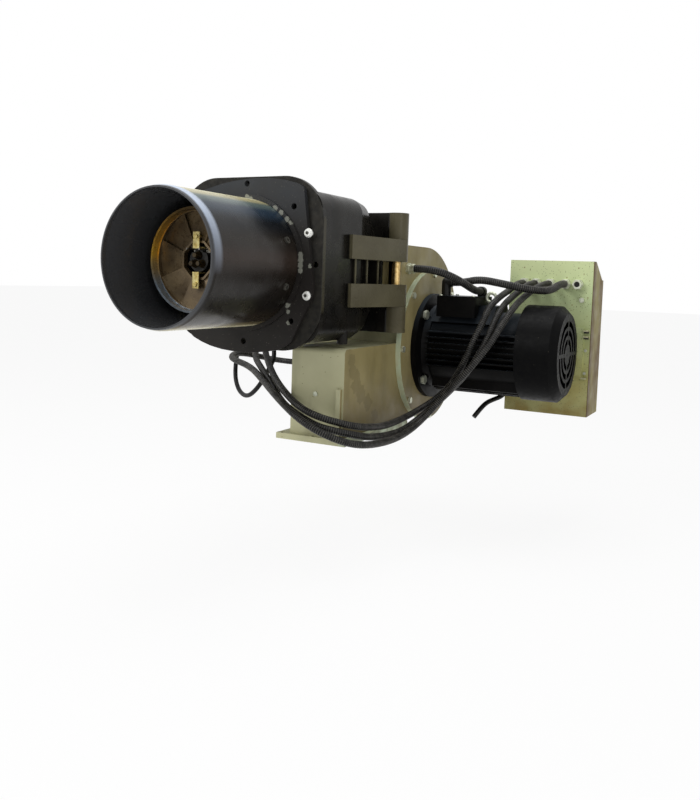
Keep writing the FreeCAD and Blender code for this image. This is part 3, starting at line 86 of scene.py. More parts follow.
# Each cord's radius and the points of its route, in mm, that its line is steered by.
ROUTES = {
    "terminal_hose": (HOSE_RADIUS, [
        (480, 621.7, -20), (480, 585, -20), (471, 532.4, -37.6), (437, 485.4, -36),
        (384, 462.4, -25), (325, 465, -15.7), (285, 461, -25), (261, 461, -25)]),
    "blower_hose": (HOSE_RADIUS, [
        (197.3, 385, 3), (226.5, 385, 3), (255, 392.3, -2.1), (280.5, 407, -12.5),
        (298.9, 428.2, -25.6), (309.3, 455.2, -37.3), (312, 485.5, -43.5), (312, 510, -43.5)]),
    "conduit_one": (CONDUIT_RADIUS, [
        (381, 621.7, -20), (381, 584, -20), (377, 522, -40), (376, 458, -54), (363, 425, -78),
        (359, 400, -110), (346, 384, -148), (330, 376, -197), (295, 394, -253), (263, 387, -288),
        (230, 353, -316), (215, 294, -330), (218, 212, -331), (216, 141, -324), (207, 97, -317),
        (184, 68, -308), (153, 48, -298), (113, 44, -285), (57, 70, -261), (-24, 154, -244),
        (-90, 224, -216), (-125, 263, -189), (-143, 302, -151), (-181, 340, -74), (-203, 403, -54),
        (-183, 467, -50), (-131, 500, -50), (-78, 500, -50)]),
    "conduit_two": (CONDUIT_RADIUS, [
        (410, 621.7, -20), (410, 574, -20), (391, 506, -53), (390, 446, -71), (382, 414, -104),
        (377, 390, -141), (359, 378, -184), (337, 368, -225), (304, 373, -261), (270, 366, -298),
        (242, 338, -329), (226, 289, -351), (221, 216, -352), (221, 134, -343), (211, 89, -333),
        (185, 60, -324), (149, 46, -316), (108, 50, -302), (47, 78, -285), (-26, 151, -261),
        (-103, 226, -241), (-178, 294, -213), (-180, 346, -162), (-128, 380, -125),
        (-108, 421, -113), (-108, 464.7, -113)]),
    "conduit_three": (CONDUIT_RADIUS, [
        (444, 621.7, -20), (444, 564, -20), (418, 483, -57), (413, 428, -84), (402, 402, -114),
        (388, 374, -153), (367, 361, -186), (348, 348, -215), (322, 347, -244), (287, 352, -283),
        (255, 324, -330), (243, 267, -352), (239, 194, -358), (232, 121, -355), (218, 76, -349),
        (197, 45, -338), (163, 26, -322), (120, 28, -304), (72, 47, -283), (12, 89, -263),
        (-60, 160, -251), (-148, 240, -236), (-223, 271, -227), (-250, 309, -221),
        (-255, 355, -220), (-234, 403, -230), (-191, 430, -240), (-140.3, 430, -240)]),
    "loop_cable": (CABLE_RADIUS, [
        (-78, 546, -50), (-118, 546, -50), (-172, 528, -66), (-222, 463, -113),
        (-264, 357, -190), (-275, 355, -270), (-250, 337, -312), (-201, 307, -323),
        (-158, 289, -294), (-136, 298, -252), (-138, 337, -210), (-179, 334, -116),
        (-187, 398, -75), (-144, 457, -90), (-100, 456, -150), (-100, 456, -191.7)]),
    "panel_cable": (CABLE_RADIUS, [
        (365, 639.7, -270), (365, 604, -270), (361, 566, -293), (346, 539, -300), (339, 508, -305),
        (330, 486, -321), (322, 475, -336)]),
}


def make_cord(name, radius, points):
    """A cord on its route's points, and its bare centreline as a mesh for what runs along it."""
    curve = bpy.data.curves.new(name + "_line", "CURVE")
    curve.dimensions = "3D"
    curve.resolution_u = 12
    spline = curve.splines.new("NURBS")
    spline.points.add(len(points) - 1)
    for point, spot in zip(spline.points, points):
        point.co = (spot[0] * MM, spot[1] * MM, spot[2] * MM, 1)
    spline.order_u = 3
    spline.use_endpoint_u = True
    cord = bpy.data.objects.new(name + "_visual", curve)
    scene.collection.objects.link(cord)
    line = bpy.data.meshes.new_from_object(cord)
    curve.bevel_depth = radius * MM
    curve.bevel_resolution = 6
    curve.use_fill_caps = True
    return cord, line


cords = {name: make_cord(name, radius, points) for name, (radius, points) in ROUTES.items()}

# Finishes


def colour(text):
    """An sRGB hex colour, turned to the linear values that Blender's shaders take."""
    values = [int(text[k:k + 2], 16) / 255 for k in (1, 3, 5)]
    return [v / 12.92 if v < 0.04045 else ((v + 0.055) / 1.055) ** 2.4 for v in values] + [1]


def add(tree, kind, settings=None, **inputs):
    """One node. Inputs are named with _ for a space, or as _0, _1 by number, and are values
    or the sockets that feed them."""
    made = tree.nodes.new(kind)
    for name, value in (settings or {}).items():
        setattr(made, name, value)
    for name, value in inputs.items():
        key = int(name[1:]) if name[1:].isdigit() else name.replace("_", " ")
        if isinstance(value, bpy.types.NodeSocket):
            tree.links.new(value, made.inputs[key])
        else:
            made.inputs[key].default_value = value
    return made


def finish_named(name, metallic=0.0, **facts):
    """A new material: its tree, its shader and the Object coordinates that patterns read."""
    material = bpy.data.materials.new(name)
    material.use_nodes = True
    tree = material.node_tree
    shader = tree.nodes["Principled BSDF"]
    shader.inputs["Metallic"].default_value = metallic
    for fact, value in facts.items():
        shader.inputs[fact.replace("_", " ")].default_value = value
    place = add(tree, "ShaderNodeTexCoord").outputs["Object"]
    return material, tree, shader, place


def clouds(tree, place, grain, low=0.0, high=1.0, detail=3.0, edge=(0.35, 0.65), stretch=None):
    """Soft patches about `grain` mm across, as a number from low to high."""
    if stretch:
        place = add(tree, "ShaderNodeMapping", Vector=place, Scale=stretch).outputs[0]
    noise = add(tree, "ShaderNodeTexNoise", Vector=place, Scale=1 / (grain * MM),
                Detail=detail)
    return add(tree, "ShaderNodeMapRange", Value=noise.outputs["Fac"], From_Min=edge[0],
               From_Max=edge[1], To_Min=low, To_Max=high).outputs[0]


# The part of a speck's radius inside which it has its full colour.
SPECK_CORE = 0.6


def specks(tree, place, spacing, radius, share):
    """Round specks, `radius` mm from middle to edge, in cells of `spacing` mm; `share` of the
    cells have one."""
    cells = add(tree, "ShaderNodeTexVoronoi", Vector=place, Scale=1 / (spacing * MM))
    near = add(tree, "ShaderNodeMapRange", Value=cells.outputs["Distance"],
               From_Min=radius / spacing, From_Max=radius / spacing * SPECK_CORE)
    pick = add(tree, "ShaderNodeSeparateColor", Color=cells.outputs["Color"])
    kept = add(tree, "ShaderNodeMath", {"operation": "LESS_THAN"}, _0=pick.outputs[0], _1=share)
    return add(tree, "ShaderNodeMath", {"operation": "MULTIPLY"}, _0=near.outputs[0],
               _1=kept.outputs[0]).outputs[0]


def mixed(tree, share, first, second):
    """Two colours by a share: hex texts or sockets."""
    first = colour(first) if isinstance(first, str) else first
    second = colour(second) if isinstance(second, str) else second
    return add(tree, "ShaderNodeMix", {"data_type": "RGBA"}, _0=share, _6=first,
               _7=second).outputs[2]


def dress(tree, shader, place, paint, dulled, grain, depth):
    """The shader's colour, its roughness and a raised grain `grain` mm across and `depth` mm
    high. The roughness wanders between two values in patches: (mm across, low, high)."""
    patch, low, high = dulled
    tree.links.new(paint, shader.inputs["Base Color"])
    tree.links.new(clouds(tree, place, patch, low, high), shader.inputs["Roughness"])
    noise = add(tree, "ShaderNodeTexNoise", Vector=place, Scale=1 / (grain * MM), Detail=2.0)
    bump = add(tree, "ShaderNodeBump", Height=noise.outputs["Fac"], Distance=depth * MM)
    tree.links.new(bump.outputs[0], shader.inputs["Normal"])


# The sum of nearness and noise at which a mark begins, and at which it is full.
MARK_EDGE = (0.86, 0.94)


def spots(tree, place, marks, ragged):
    """Ragged marks, each (x, y, z, radius) in mm, as a number from 0 to 1."""
    wander = add(tree, "ShaderNodeTexNoise", Vector=place, Scale=1 / (ragged * MM), Detail=4.0)
    total = 0.0
    for x, y, z, radius in marks:
        away = add(tree, "ShaderNodeVectorMath", {"operation": "DISTANCE"}, _0=place,
                   _1=(x * MM, y * MM, z * MM))
        within = add(tree, "ShaderNodeMapRange", Value=away.outputs["Value"],
                     From_Min=radius * MM, From_Max=0.0)
        total = add(tree, "ShaderNodeMath", {"operation": "MAXIMUM"}, _0=within.outputs[0],
                    _1=total).outputs[0]
    rough = add(tree, "ShaderNodeMath", {"operation": "ADD"}, _0=total,
                _1=wander.outputs["Fac"])
    return add(tree, "ShaderNodeMapRange", Value=rough.outputs[0], From_Min=MARK_EDGE[0],
               From_Max=MARK_EDGE[1]).outputs[0]


def height_bands(tree, place, bands):
    """A colour that follows the height: bands are (mm, hex)."""
    parts = add(tree, "ShaderNodeSeparateXYZ", Vector=place)
    low, high = bands[0][0], bands[-1][0]
    along = add(tree, "ShaderNodeMapRange", Value=parts.outputs[2], From_Min=low * MM,
                From_Max=high * MM)
    ramp = add(tree, "ShaderNodeValToRGB", Fac=along.outputs[0])
    ramp.color_ramp.interpolation = "EASE"
    while len(ramp.color_ramp.elements) < len(bands):
        ramp.color_ramp.elements.new(0.5)
    for stop, (spot, shade) in zip(ramp.color_ramp.elements, bands):
        stop.position = (spot - low) / (high - low)
        stop.color = colour(shade)
    return ramp.outputs[0]


# What the finishes below are placed by, in mm. The blower's axis, along which the motor and its
# round plate lie, the plate's front edge and its rim.
FAN_BACK = 516
FAN_HEIGHT = -179
PLATE_FRONT, PLATE_RIM = 179.1, 179
# The painted highlight band along the tube at its mouth, and the heights between which it fades
# in. The tube's bore, the disc inside the diffuser ring, the edge of the casting where its arms
# begin, and the control box's right side, its front and where that side's brown corner starts.
MOUTH_HIGHLIGHT_START, MOUTH_HIGHLIGHT_END = -238, -246
MOUTH_HIGHLIGHT_LOW, MOUTH_HIGHLIGHT_HIGH = -25, 95
TUBE_BORE, DISC_RADIUS = 123.4, 90.4
ARMS_START, ARMS_END = 168, 171
BOX_SIDE, BOX_FRONT, BOX_INNER = 543.2, 640, 675
# Chips on the boiler flange, as (x, y, z, radius): each lies where the photograph shows primer.
FLANGE_CHIPS = [(5, -6, 128, 9), (14, -4, 124, 9), (31, 0, 119, 9), (71, -6, 106, 9),
                (84, -6, 97, 9), (98, -6, 85, 9), (107, -6, 79, 8), (131, -6, 18, 9),
                (131, -6, 8, 10), (131, -6, -2, 10), (132, -6, -12, 9), (106, -6, -80, 9),
                (103, 0, -92, 7), (104, 0, -113, 7), (149, 0, -3, 7)]
# Painted cast shadow, dark brown, down the motor side of the duct, and the heights between which
# that side darkens.
DUCT_SHADOW_MARKS = [(179, 127, -190, 24), (179, 134, -215, 30), (179, 150, -240, 34),
               (179, 172, -262, 32), (179, 206, -284, 30), (179, 240, -316, 26)]
SIDE_DARKENS_FROM, SIDE_DARKENS_TO = -230, -340
# Shades by height, as (mm, colour). The flange is darker low down, painted shade, and lighter and
# bluer at the top, a painted reflection. The tube's bands are mostly painted reflection and
# highlight:
# a pale lower edge, brown below the middle that is partly heat tint, blue-black above it and straw
# along the crown. The control box is darker and yellower towards the bottom. The diffuser ring
# goes from blue-grey below to straw gold.
FLANGE_SHADE_AND_REFLECTION = [(-165, "#211f1d"), (-60, "#24211f"), (60, "#2b2a29"), (165, "#34373b")]
TUBE_REFLECTION_BANDS = [(-125, "#e6e2c8"), (-122, "#cfc8a4"), (-117, "#6b6145"), (-110, "#2a2319"),
              (-80, "#161310"), (-30, "#1d1813"), (8, "#332923"), (35, "#26211c"),
              (70, "#101317"), (95, "#223140"), (108, "#53625f"), (116, "#b3ab7f"),
              (125, "#efe8c0")]
PANEL_BANDS = [(-335, "#8f7f47"), (-280, "#a59a5c"), (-200, "#aead70"), (-120, "#b1bb88"),
               (-50, "#b8c796"), (35, "#cdd8a4")]
RING_BANDS = [(-95, "#6d7378"), (-50, "#8b97a3"), (-12, "#b39a66"), (12, "#f2be45"),
              (45, "#c9973a"), (95, "#5b4827")]


def within_radius(tree, place, radius):
    """1 inside `radius` mm of the flame axis, 0 outside."""
    flat = add(tree, "ShaderNodeVectorMath", {"operation": "MULTIPLY"}, _0=place, _1=(1, 0, 1))
    away = add(tree, "ShaderNodeVectorMath", {"operation": "LENGTH"}, _0=flat.outputs[0])
    return add(tree, "ShaderNodeMapRange", Value=away.outputs["Value"],
               From_Min=(radius + 0.5) * MM, From_Max=(radius - 0.5) * MM).outputs[0]


def sprayed_black_steel():
    """The boiler flange: steel plate sprayed black, soft shine, fine orange peel, chips down to
    pale primer round the tube's collar, painted shade low down and a painted reflection towards
    the top."""
    material, tree, shader, place = finish_named("sprayed_black_steel",
                                                 Specular_IOR_Level=0.15)
    # Painted shade low down and a painted reflection towards the top.
    height = height_bands(tree, place, FLANGE_SHADE_AND_REFLECTION)
    haze = clouds(tree, place, 60, high=0.4)
    paint = mixed(tree, haze, height, "#2c2926")
    dust = specks(tree, place, 5, 0.9, 0.3)
    paint = mixed(tree, dust, paint, "#56534c")
    chips = spots(tree, place, FLANGE_CHIPS, 3)
    paint = mixed(tree, chips, paint, "#84857b")
    dress(tree, shader, place, paint, (35, 0.34, 0.5), 2.5, 0.04)
    return material


def heat_blackened_steel():
    """The flame tube: rolled sheet blackened by heat. Oil-smooth. Its colours by height are mostly
    painted reflection and highlight, with some brown heat tint below the middle, and a painted
    highlight along the mouth."""
    material, tree, shader, place = finish_named("heat_blackened_steel",
                                                 Specular_IOR_Level=0.2)
    # Painted reflection and highlight by height, with some brown heat tint below the middle.
    bands = height_bands(tree, place, TUBE_REFLECTION_BANDS)
    streaks = clouds(tree, place, 60, high=0.25, edge=(0.4, 0.7), stretch=(1, 0.15, 1))
    steel = mixed(tree, streaks, bands, "#1d1a17")
    parts = add(tree, "ShaderNodeSeparateXYZ", Vector=place)
    mouth = add(tree, "ShaderNodeMapRange", Value=parts.outputs[1],
                From_Min=MOUTH_HIGHLIGHT_START * MM, From_Max=MOUTH_HIGHLIGHT_END * MM)
    raised = add(tree, "ShaderNodeMapRange", Value=parts.outputs[2],
                 From_Min=MOUTH_HIGHLIGHT_LOW * MM, From_Max=MOUTH_HIGHLIGHT_HIGH * MM)
    mouth_highlight = add(tree, "ShaderNodeMath", {"operation": "MULTIPLY"}, _0=mouth.outputs[0],
                 _1=raised.outputs[0])
    # A painted highlight, pale blue-white, along the tube's upper side at the mouth.
    steel = mixed(tree, mouth_highlight.outputs[0], steel, "#c3cfe2")
    inside = within_radius(tree, place, TUBE_BORE)
    steel = mixed(tree, inside, steel, "#454648")
    dress(tree, shader, place, steel, (40, 0.22, 0.34), 30, 0.08)
    return material


def black_cast_iron():
    """The head casting: sand-cast iron under gloss black, with the sand's grain showing
    through and a lighter olive-grey on the hinge arms."""
    material, tree, shader, place = finish_named("black_cast_iron", Specular_IOR_Level=0.12)
    parts = add(tree, "ShaderNodeSeparateXYZ", Vector=place)
    arms = add(tree, "ShaderNodeMapRange", Value=parts.outputs[0], From_Min=ARMS_START * MM,
               From_Max=ARMS_END * MM)
    haze = clouds(tree, place, 45)
    body = mixed(tree, haze, "#12110f", "#1d1b17")
    # The hinge arms are a lighter olive-grey than the body.
    arms_grey = mixed(tree, clouds(tree, place, 90), "#534e3c", "#5e5945")
    paint = mixed(tree, arms.outputs[0], body, arms_grey)
    dust = specks(tree, place, 9, 0.8, 0.18)
    paint = mixed(tree, dust, paint, "#6a6655")
    dress(tree, shader, place, paint, (30, 0.22, 0.36), 2.4, 0.07)
    return material


def near_fan_rim(tree, place):
    """1 on the turned edge of the motor's round plate, 0 elsewhere."""
    parts = add(tree, "ShaderNodeSeparateXYZ", Vector=place)
    flat = add(tree, "ShaderNodeCombineXYZ", Y=parts.outputs[1], Z=parts.outputs[2])
    away = add(tree, "ShaderNodeVectorMath", {"operation": "DISTANCE"}, _0=flat.outputs[0],
               _1=(0, FAN_BACK * MM, FAN_HEIGHT * MM))
    edge = add(tree, "ShaderNodeMapRange", Value=away.outputs["Value"],
               From_Min=(PLATE_RIM - 0.4) * MM, From_Max=(PLATE_RIM + 0.4) * MM)
    proud = add(tree, "ShaderNodeMath", {"operation": "GREATER_THAN"}, _0=parts.outputs[0],
                _1=PLATE_FRONT * MM)
    return add(tree, "ShaderNodeMath", {"operation": "MULTIPLY"}, _0=edge.outputs[0],
               _1=proud.outputs[0]).outputs[0]


def olive_powder_coat():
    """The blower housing: folded sheet under olive-beige powder coat. Fine leathery grain,
    runs of grime, painted brown shade on the faces towards the motor that darkens low down, a
    painted cast shadow down that side and a painted highlight on the motor plate's rim."""
    material, tree, shader, place = finish_named("olive_powder_coat", Specular_IOR_Level=0.35)
    haze = clouds(tree, place, 80)
    paint = mixed(tree, haze, "#b6b48f", "#c2c09c")
    facing = add(tree, "ShaderNodeSeparateXYZ",
                 Vector=add(tree, "ShaderNodeTexCoord").outputs["Normal"])
    # The faces towards the motor get a painted brown shade, darker towards the bottom.
    shaded_side = add(tree, "ShaderNodeMapRange", Value=facing.outputs[0], From_Min=0.2,
                     From_Max=0.9)
    side_shade = mixed(tree, clouds(tree, place, 70, detail=4), "#8b7f54", "#978b60")
    parts = add(tree, "ShaderNodeSeparateXYZ", Vector=place)
    low = add(tree, "ShaderNodeMapRange", Value=parts.outputs[2], From_Min=SIDE_DARKENS_FROM * MM,
              From_Max=SIDE_DARKENS_TO * MM, To_Max=0.7)
    side_shade = mixed(tree, low.outputs[0], side_shade, "#57492b")
    # A painted cast shadow, dark brown, down the motor side of the duct.
    stain_and_shadow = add(tree, "ShaderNodeMath", {"operation": "MULTIPLY"},
                _0=spots(tree, place, DUCT_SHADOW_MARKS, 14), _1=0.28)
    side_shade = mixed(tree, stain_and_shadow.outputs[0], side_shade, "#453a20")
    paint = mixed(tree, shaded_side.outputs[0], paint, side_shade)
    # A painted highlight, pale mint, on the turned rim of the motor's round plate.
    rim = clouds(tree, place, 25, low=0.3)
    plate = near_fan_rim(tree, place)
    wear_and_highlight = add(tree, "ShaderNodeMath", {"operation": "MULTIPLY"}, _0=rim, _1=plate)
    paint = mixed(tree, wear_and_highlight.outputs[0], paint, "#c2d0b4")
    grime = clouds(tree, place, 55, high=0.4, detail=5, edge=(0.5, 0.75), stretch=(1, 1, 0.25))
    paint = mixed(tree, grime, paint, "#5c5338")
    pits = specks(tree, place, 9, 1.1, 0.35)
    paint = mixed(tree, pits, paint, "#6b6246")
    dress(tree, shader, place, paint, (40, 0.38, 0.6), 1.6, 0.06)
    return material


def spattered_panel_paint():
    """The control box: pale green hammer paint, spattered with dark flecks, rubbed to brown
    primer on its right side, and darker and yellower towards the bottom."""
    material, tree, shader, place = finish_named("spattered_panel_paint", Specular_IOR_Level=0.3)
    parts = add(tree, "ShaderNodeSeparateXYZ", Vector=place)
    height = height_bands(tree, place, PANEL_BANDS)
    haze = clouds(tree, place, 40, high=0.3)
    paint = mixed(tree, haze, height, "#ccd6a0")
    fleck = specks(tree, place, 4, 1.0, 0.5)
    paint = mixed(tree, fleck, paint, "#626c46")
    blot = specks(tree, place, 13, 2.2, 0.3)
    paint = mixed(tree, blot, paint, "#8f8a5e")
    side = add(tree, "ShaderNodeMapRange", Value=parts.outputs[0], From_Min=BOX_SIDE * MM,
               From_Max=(BOX_SIDE + 0.7) * MM)
    patches = clouds(tree, place, 60, detail=4, stretch=(1, 1, 0.4))
    wear_and_highlight = mixed(tree, patches, "#6b5730", "#978d5a")
    corner = add(tree, "ShaderNodeMapRange", Value=parts.outputs[1], From_Min=BOX_INNER * MM,
                 From_Max=BOX_FRONT * MM)
    wear_and_highlight = mixed(tree, corner.outputs[0], wear_and_highlight, "#5a4523")
    paint = mixed(tree, side.outputs[0], paint, wear_and_highlight)
    dress(tree, shader, place, paint, (25, 0.45, 0.65), 2.2, 0.12)
    return material


def motor_enamel():
    """The motor: cast aluminium ribs under black enamel, a painted blue-grey sheen on its upper
    faces, and a few specks of dust."""
    material, tree, shader, place = finish_named("motor_enamel", Specular_IOR_Level=0.06)
    upward = add(tree, "ShaderNodeSeparateXYZ",
                 Vector=add(tree, "ShaderNodeTexCoord").outputs["Normal"])
    # Upper faces get a painted blue-grey sheen.
    upward_sheen = add(tree, "ShaderNodeMapRange", Value=upward.outputs[2], From_Min=0.3, From_Max=1,
                To_Max=0.5)
    haze = clouds(tree, place, 30)
    paint = mixed(tree, haze, "#070707", "#0e0d0c")
    paint = mixed(tree, upward_sheen.outputs[0], paint, "#454e57")
    dust = specks(tree, place, 9, 0.9, 0.12)
    paint = mixed(tree, dust, paint, "#3b3833")
    dress(tree, shader, place, paint, (25, 0.3, 0.45), 2, 0.08)
    return material


def bare_metal(name, low, high, metallic, rough, stain_and_shadow="#5a5340", grain=1.2):
    """Bare or plated metal: two close shades in small patches, dull stains and a fine grain."""
    material, tree, shader, place = finish_named(name, metallic=metallic)
    metal = mixed(tree, clouds(tree, place, 6), low, high)
    stains = clouds(tree, place, 14, high=0.6, detail=5, edge=(0.5, 0.75))
    metal = mixed(tree, stains, metal, stain_and_shadow)
    dress(tree, shader, place, metal, (5, rough, rough + 0.18), grain, 0.03)
    return material


def tempered_sheet():
    """Diffuser ring and vanes: stainless sheet drawn through a fire, straw gold on the left
    of the ring, blue-grey below, soot-brown on the vanes."""
    material, tree, shader, place = finish_named("tempered_sheet", metallic=0.35)
    heat = height_bands(tree, place, RING_BANDS)
    soot = mixed(tree, clouds(tree, place, 45), "#53442f", "#7b694c")
    sheet = mixed(tree, within_radius(tree, place, DISC_RADIUS), heat, soot)
    dress(tree, shader, place, sheet, (8, 0.24, 0.42), 5, 0.08)
    return material


def moulded(name, low, high, rough, grain, shine=0.2):
    """Moulded rubber, PVC or phenolic, and the cowl's smooth enamel: a spark-eroded grain and
    a thin film of dust, which shows on more of a surface that shines."""
    material, tree, shader, place = finish_named(name, Specular_IOR_Level=shine)
    skin = mixed(tree, clouds(tree, place, 12), low, high)
    skin = mixed(tree, specks(tree, place, 5, 0.8, shine), skin, "#4a463c")
    dress(tree, shader, place, skin, (9, rough, rough + 0.15), grain, 0.06)
    return material


LOOKS = {
    "flange_steel": sprayed_black_steel(),
    "tube_steel": heat_blackened_steel(),
    "casting": black_cast_iron(),
    "housing_paint": olive_powder_coat(),
    "panel_paint": spattered_panel_paint(),
    "motor_paint": motor_enamel(),
    # Metals. Bright zinc shows silver with a green cast, blacked screws a soft grey-black,
    # bronze gold, sooted brass a dull brown, passivated steel straw, aluminium a pale grey.
    "zinc_steel": bare_metal("bright_zinc_plate", "#c2c6b2", "#dfe2d0", 0.75, 0.3, "#8f9277"),
    "dull_screw": bare_metal("blacked_socket_screw", "#3c3b37", "#55524a", 0.6, 0.4, "#22201c"),
    "pin_bronze": bare_metal("turned_bronze", "#b99a5e", "#d9bd84", 0.9, 0.25, "#6e5730"),
    "nozzle_brass": bare_metal("sooted_brass", "#2b2418", "#4a3c22", 0.6, 0.4, "#15120d"),
    "head_steel": bare_metal("straw_passivated_steel", "#b7a15c", "#d8cb8e", 0.7, 0.32,
                             "#5b4c2b"),
    "diffuser_steel": tempered_sheet(),
    "electrode_metal": bare_metal("drawn_resistance_wire", "#6f6c66", "#8f8c84", 0.9, 0.35),
    "fan_alloy": bare_metal("pressed_aluminium", "#8f8f88", "#adada6", 0.85, 0.4),
    "motor_core": bare_metal("stacked_laminations", "#55524c", "#6b6862", 0.6, 0.45, "#3b2a1a"),
    # Moulded pieces. The fibre gasket is dry and dark, phenolic and nylon near black and
    # smooth, glazed ceramic a wet off-white, and the covers of hoses and cables satin black.
    "gasket": moulded("graphited_fibre_gasket", "#1a1916", "#292722", 0.6, 1.5),
    "sensor_black": moulded("phenolic_black", "#111110", "#1b1a18", 0.3, 1.2),
    "fan_plastic": moulded("glass_filled_nylon", "#0f0f0e", "#171614", 0.4, 1.0),
    "ceramic": moulded("glazed_ceramic", "#dedacb", "#eceadf", 0.12, 3.0),
    "hose_cover": moulded("ribbed_pvc_cover", "#0c0c0d", "#171717", 0.3, 2.0),
    "cable_cover": moulded("smooth_pvc_sheath", "#0c0c0c", "#161615", 0.35, 3.0),
}
SLOTS = {row["node"]: row["material_slot"] for row in frame["record"]["subparts"]}
# Finishes of nodes that differ from the rest of their slot, and of the hoses' ribs.
OWN_LOOKS = {
    "nozzle_holder": bare_metal("sooted_steel", "#141311", "#22201c", 0.3, 0.55, "#0b0a09"),
    # The hoses' rib crests are a paler grey than their covers.
    "rib_crests": moulded("pale_grey_rib_crests", "#474540", "#74716a", 0.3, 2.0),
    "casting_screws": bare_metal("clean_zinc_plate", "#f0f1ea", "#fafaf6", 0.35, 0.4, "#c9cabb"),
    "fan_cowl": moulded("pressed_cowl_enamel", "#030304", "#070707", 0.35, 2.0, 0.06),
}
for name, node in nodes.items():
    node.data.materials.clear()
    node.data.materials.append(OWN_LOOKS.get(name, LOOKS[SLOTS[name]]))

# What follows a line


def rings_along():
    """Rings threaded on a line: the ribs of a corrugated cover."""
    tree = bpy.data.node_groups.new("rings_along", "GeometryNodeTree")
    face = tree.interface
    face.new_socket("Line", in_out="INPUT", socket_type="NodeSocketGeometry")
    for name in ("Pitch", "Ring radius", "Rib radius"):
        face.new_socket(name, in_out="INPUT", socket_type="NodeSocketFloat")
    face.new_socket("Finish", in_out="INPUT", socket_type="NodeSocketMaterial")
    face.new_socket("Rings", in_out="OUTPUT", socket_type="NodeSocketGeometry")
    given = add(tree, "NodeGroupInput").outputs
    line = add(tree, "GeometryNodeMeshToCurve", Mesh=given["Line"])
    stops = add(tree, "GeometryNodeResampleCurve", {"mode": "LENGTH"}, Curve=line.outputs[0],
                Length=given["Pitch"])
    along = add(tree, "GeometryNodeInputTangent")
    turn = add(tree, "FunctionNodeAlignRotationToVector", {"axis": "Z"}, Vector=along.outputs[0])
    hoop = add(tree, "GeometryNodeCurvePrimitiveCircle", Resolution=12,
               Radius=given["Ring radius"])
    section = add(tree, "GeometryNodeCurvePrimitiveCircle", Resolution=4,
                  Radius=given["Rib radius"])
    rib = add(tree, "GeometryNodeCurveToMesh", Curve=hoop.outputs[0],
              Profile_Curve=section.outputs[0])
    placed = add(tree, "GeometryNodeInstanceOnPoints", Points=stops.outputs[0],
                 Instance=rib.outputs[0], Rotation=turn.outputs[0])
    real = add(tree, "GeometryNodeRealizeInstances", Geometry=placed.outputs[0])
    smooth = add(tree, "GeometryNodeSetShadeSmooth", Geometry=real.outputs[0])
    dressed = add(tree, "GeometryNodeSetMaterial", Geometry=smooth.outputs[0],
                  Material=given["Finish"])
    add(tree, "NodeGroupOutput", Rings=dressed.outputs[0])
    return tree


def grown(name, mesh, tree, **sizes):
    """The plain mesh that a node tree grows from a line."""
    source = bpy.data.objects.new(name + "_source", mesh)
    scene.collection.objects.link(source)
    grower = source.modifiers.new("grow", "NODES")
    grower.node_group = tree
    sockets = {item.name: item.identifier for item in tree.interface.items_tree
               if item.in_out == "INPUT"}
    for word, value in sizes.items():
        grower[sockets[word.replace("_", " ")]] = value
    scene.view_layers[0].update()
    seen = source.evaluated_get(bpy.context.evaluated_depsgraph_get())
    shape = bpy.data.meshes.new_from_object(seen)
    bpy.data.objects.remove(source)
    piece = bpy.data.objects.new(name, shape)
    scene.collection.objects.link(piece)
    return piece


RINGS = rings_along()
RIB_PITCH = 4.4
RIB_PROUD = 0.5

for name, (cord, line) in cords.items():
    radius, points = ROUTES[name]
    look = LOOKS[SLOTS[name]]
    cord.data.materials.append(look)
    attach(cord, "blower")
    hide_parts(name)
    if SLOTS[name] == "hose_cover":
        ribs = grown(name + "_ribs", line, RINGS, Pitch=RIB_PITCH * MM,
                     Ring_radius=radius * MM, Rib_radius=RIB_PROUD * MM,
                     Finish=OWN_LOOKS["rib_crests"])
        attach(ribs, "blower")

# Small pieces that the solids leave out


def plain_mesh(name, corners, faces, slot_name, body):
    """A piece given by its corners in mm, finished and set on the body that carries it."""
    mesh = bpy.data.meshes.new(name)
    mesh.from_pydata([[value * MM for value in spot] for spot in corners], [], faces)
    mesh.update()
    mesh.materials.append(LOOKS[slot_name])
    item = bpy.data.objects.new(name, mesh)
    scene.collection.objects.link(item)
    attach(item, body)


BLOCK_FACES = [(0, 1, 3, 2), (4, 6, 7, 5), (0, 4, 5, 1), (2, 3, 7, 6), (0, 2, 6, 4), (1, 5, 7, 3)]


def blocks(name, boxes, slot_name, body):
    """Plain blocks as one piece; each box is its two opposite corners in mm."""
    corners, faces = [], []
    for low, high in boxes:
        base = len(corners)
        corners += [(x, y, z) for x in (low[0], high[0]) for y in (low[1], high[1])
                    for z in (low[2], high[2])]
        faces += [tuple(base + i for i in face) for face in BLOCK_FACES]
    plain_mesh(name, corners, faces, slot_name, body)


def drums(name, spots_at, radius, thick, slot_name, body, sides=20):
    """Low drums along Y as one piece, each given by the middle of its front face."""
    corners, faces = [], []
    for x, y, z in spots_at:
        base = len(corners)
        for depth in (0, thick):
            for i in range(sides):
                turn = 2 * math.pi * i / sides
                corners.append((x + radius * math.cos(turn), y + depth,
                                z + radius * math.sin(turn)))
        faces.append(tuple(range(base, base + sides)))
        faces.append(tuple(range(base + 2 * sides - 1, base + sides - 1, -1)))
        faces += [(base + i, base + sides + i, base + sides + (i + 1) % sides,
                   base + (i + 1) % sides) for i in range(sides)]
    plain_mesh(name, corners, faces, slot_name, body)


